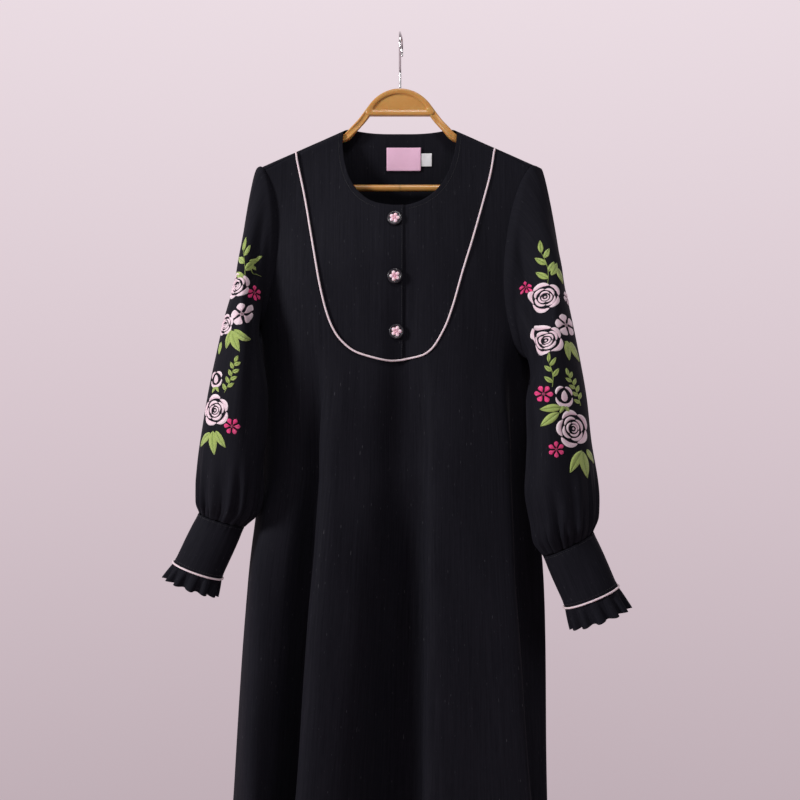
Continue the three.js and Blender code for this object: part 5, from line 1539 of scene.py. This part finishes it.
plate, rim = -HEAD_WEB / 2, -HEAD_THICK / 2
layers = [  # inset and y: the flat plate, its groove, the rim's crown and its round edge
    (15.0, plate), (14.0, plate), (9.4, plate), (8.7, plate), (8.4, plate), (7.7, plate - 0.4),
    (7.2, rim + 0.5), (6.6, rim), (1.6, rim), (0.5, rim + 0.4), (0, rim + 1.5),
]
layers = layers + [(inset, -y) for inset, y in layers[::-1]]
rings = np.stack([moon(inset) for inset, _ in layers])
rings[[0, -1]] = rings[[0, -1]].mean(1, keepdims=True)
head = np.stack([rings[..., 0], np.array([y for _, y in layers])[:, None] + 0 * rings[..., 0],
                 rings[..., 1]], -1)
grids = [(head, head - [0, 0, (HEAD_TOP + HEAD_FOOT) / 2], head[..., [0, 2]] * MM)]
a = np.linspace(0, 2 * np.pi, 33)
high = 5.3 * np.sign(np.sin(a)) * np.abs(np.sin(a)) ** 0.8
wide = 5.0 * np.sign(np.cos(a)) * np.abs(np.cos(a)) ** 0.55
web = 1 - 0.32 * (1 - smooth(2.0, 3.3, np.abs(high)))
arm_section = (wide * web, high)
for sign in (-1, 1):
    knots = [(42, 0, -108), (54, 0, -124), (67, -2.5, -139), (76, -2, -148.5),
             (86, 0, float(crest(86)) - 9.5)]
    knots += [(s, 0, float(crest(s)) - ROD_DROP) for s in (100, 125, 155, 186)]
    knots = np.array(knots, float) * [sign, 1, 1]
    path = even(through(np.arange(len(knots)), knots, np.linspace(0, len(knots) - 1, 400)), 120)
    p, n, uv = tube_grid(path, np.broadcast_to([0, 0, 1.0], path.shape), 1.0,
                         section=arm_section)
    grids.append((p, n, uv))
    bar = np.array([(180, 0, float(crest(180)) - 8), (178, 0, -206), (174, 0, -217),
                    (164, 0, BAR_Z + 0.5), (148, 0, BAR_Z), (130, 0, BAR_Z), (60, 0, BAR_Z),
                    (-1, 0, BAR_Z)], float) * [sign, 1, 1]
    path = even(through(np.arange(len(bar)), bar, np.linspace(0, len(bar) - 1, 400)), 130)
    grids.append(tube_grid(path, np.broadcast_to([0, -1.0, 0], path.shape), 5.0))

amber_finish = Finish(
    "amber plastic", Specular_IOR_Level=0.5, Subsurface_Weight=0.25, Subsurface_Scale=0.006,
    Coat_Weight=0.25, Coat_Roughness=0.18,
)
streaks = amber_finish.noise(amber_finish.room_place((9, 30, 60)), 1.0, 3.0, 0.5)
haze = amber_finish.noise(amber_finish.room_place((220, 220, 220)), 1.0, 3.0, 0.6)
scratch = amber_finish.noise(amber_finish.room_place((90, 900, 1400)), 1.0, 2.0, 0.6)
amber = amber_finish.feed(
    Base_Color=amber_finish.blend(streaks * 0.6 + haze * 0.4, (0.40, 0.165, 0.028),
                                  (0.60, 0.33, 0.095)),
    Roughness=haze.ramp(0.25, 0.75, 0.28, 0.46),
    Normal=amber_finish.bump(scratch * 0.5 + haze * 0.5, 0.12, 0.0003),
)
hanger = sheet_mesh("hanger_moulding", grids, amber, closed=True)
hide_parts("hanger_body")
print("hanger:", len(hanger.data.polygons), "faces")

# %% [markdown]
# ## The hook
# The hook is one bent wire, plated bright. It swivels in the head on the real hanger. A sweep
# with sixteen sides along a smooth curve keeps its long highlights clean.

# %% Hook
WIRE_RADIUS, HOOK_RADIUS = 1.7, 20.7
angles = np.radians(np.arange(205, -29, -13))
bend = np.stack([HOOK_RADIUS * np.cos(angles),
                 HOOK_RADIUS * np.sin(angles) - HOOK_RADIUS + WIRE_RADIUS], -1)
shank = np.array([(0, -87.5), (0, -76), (0, -66), (-1, -54), (-8, -42)])
line = np.concatenate([shank, bend])
line = through(np.arange(len(line)), line, np.linspace(0, len(line) - 1, 600))
line = even(line, 170)
hook_path = np.stack([3 * smooth(-5, HOOK_RADIUS, line[:, 0]), line[:, 0], line[:, 1]], -1)
wire_finish = Finish("hook wire", Metallic=1.0, Specular_IOR_Level=0.5)
drawn = wire_finish.noise(wire_finish.cloth_place(5000, 40), 1.0, 2.0, 0.5)
smear = wire_finish.noise(wire_finish.cloth_place(300, 60), 1.0, 2.0, 0.5)
chrome = wire_finish.feed(
    Base_Color=wire_finish.blend(smear, (0.60, 0.58, 0.59), (0.80, 0.78, 0.79)),
    Roughness=(drawn * 0.5 + smear * 0.5).ramp(0.3, 0.7, 0.12, 0.26),
    Normal=wire_finish.bump(drawn, 0.15, 0.0001),
)
hook = sheet_mesh(
    "hook_wire_bent", [tube_grid(hook_path, np.broadcast_to([1.0, 0, 0], hook_path.shape),
                                 WIRE_RADIUS)], chrome, closed=True)
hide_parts("hanger_hook")
print("hook:", round(float(arc_along(hook_path)[-1])), "mm long")

# %% [markdown]
# ## Sheet count
# The script prints a count of sheets.

# %% Cloth
for side in ("left", "right"):
    wearer = WEARER[side]
print("sheets:", 4 + 2 * 3 + 2)

# %% [markdown]
# ## The studio
# The picture shows a plain pale pink wall, a little darker below, and soft light from the left
# and the front. The world's colour changes with the direction's height and stands for the wall,
# so it also looks right from the sides. A large floor closes the view from above.

# %% Studio
WALL_COLOURS = [  # height of the direction from -1 to 1 as 0 to 1, colour
    (0.32, (0.52, 0.425, 0.465)), (0.5, (0.685, 0.57, 0.62)), (0.68, (0.83, 0.72, 0.77)),
]
world = bpy.data.worlds.new("studio")
bpy.context.scene.world = world
world.use_nodes = True
tree = world.node_tree
direction = tree.nodes.new("ShaderNodeTexCoord")
split = tree.nodes.new("ShaderNodeSeparateXYZ")
place = tree.nodes.new("ShaderNodeMapRange")
place.inputs["From Min"].default_value = -1.0
shades = tree.nodes.new("ShaderNodeValToRGB")
shades.color_ramp.elements.new(0.5)
for element, (position, colour) in zip(shades.color_ramp.elements, WALL_COLOURS):
    element.position, element.color = position, (*colour, 1.0)
tree.links.new(direction.outputs["Generated"], split.inputs[0])
tree.links.new(split.outputs["Z"], place.inputs["Value"])
tree.links.new(place.outputs["Result"], shades.inputs["Fac"])
tree.links.new(shades.outputs["Color"], tree.nodes["Background"].inputs["Color"])
room = tree.nodes.new("ShaderNodeMapRange")
room.interpolation_type = "SMOOTHSTEP"
for socket, value in (("From Min", -0.5), ("From Max", 0.75), ("To Min", 0.12), ("To Max", 1.0)):
    room.inputs[socket].default_value = value
tree.links.new(split.outputs["Y"], room.inputs["Value"])
tree.links.new(room.outputs["Result"], tree.nodes["Background"].inputs["Strength"])
bpy.context.scene.view_settings.view_transform = "Standard"

floor_finish = Finish("floor", Specular_IOR_Level=0.3)
dust = floor_finish.noise(floor_finish.room_place((3, 3, 3)), 1.0, 4.0, 0.55)
pale = floor_finish.feed(
    Base_Color=floor_finish.blend(dust, (0.56, 0.47, 0.50), (0.62, 0.53, 0.56)),
    Roughness=dust.ramp(0.3, 0.7, 0.75, 0.9),
)
x, y = np.meshgrid(np.linspace(-2.2, 2.2, 12), np.linspace(-3.2, 1.0, 12))
p = np.stack([x, y, np.full(x.shape, -1.52)], -1) / MM
floor = sheet_mesh(
    "floor", [(p, np.zeros(p.shape) + [0, 0, 1.0], p[..., :2] * MM)], pale, rides=False)


def softbox(name, place, target, size, watts, colour):
    """A square area lamp at a place that faces the target."""
    lamp = bpy.data.lights.new(name, "AREA")
    lamp.shape, lamp.size, lamp.energy, lamp.color = "SQUARE", size, watts, colour
    made = bpy.data.objects.new(name, lamp)
    ahead = unit(np.array(target, float) - np.array(place, float))
    made.location = place
    made.rotation_euler = (
        float(np.arccos(-ahead[2])), 0.0, float(np.arctan2(-ahead[0], ahead[1])))
    bpy.context.scene.collection.objects.link(made)
    return made


softbox("key", (-2.75, -1.7, 0.4), (0, 0, -0.6), 0.6, 98.0, (1.0, 0.99, 0.99))
softbox("fill", (1.9, -2.2, 0.5), (0, 0, -0.3), 0.9, 7.0, (0.96, 0.98, 1.0))
softbox("top", (0.2, -1.5, 1.6), (0, 0, -0.15), 0.6, 22.0, (1.0, 0.98, 0.98))
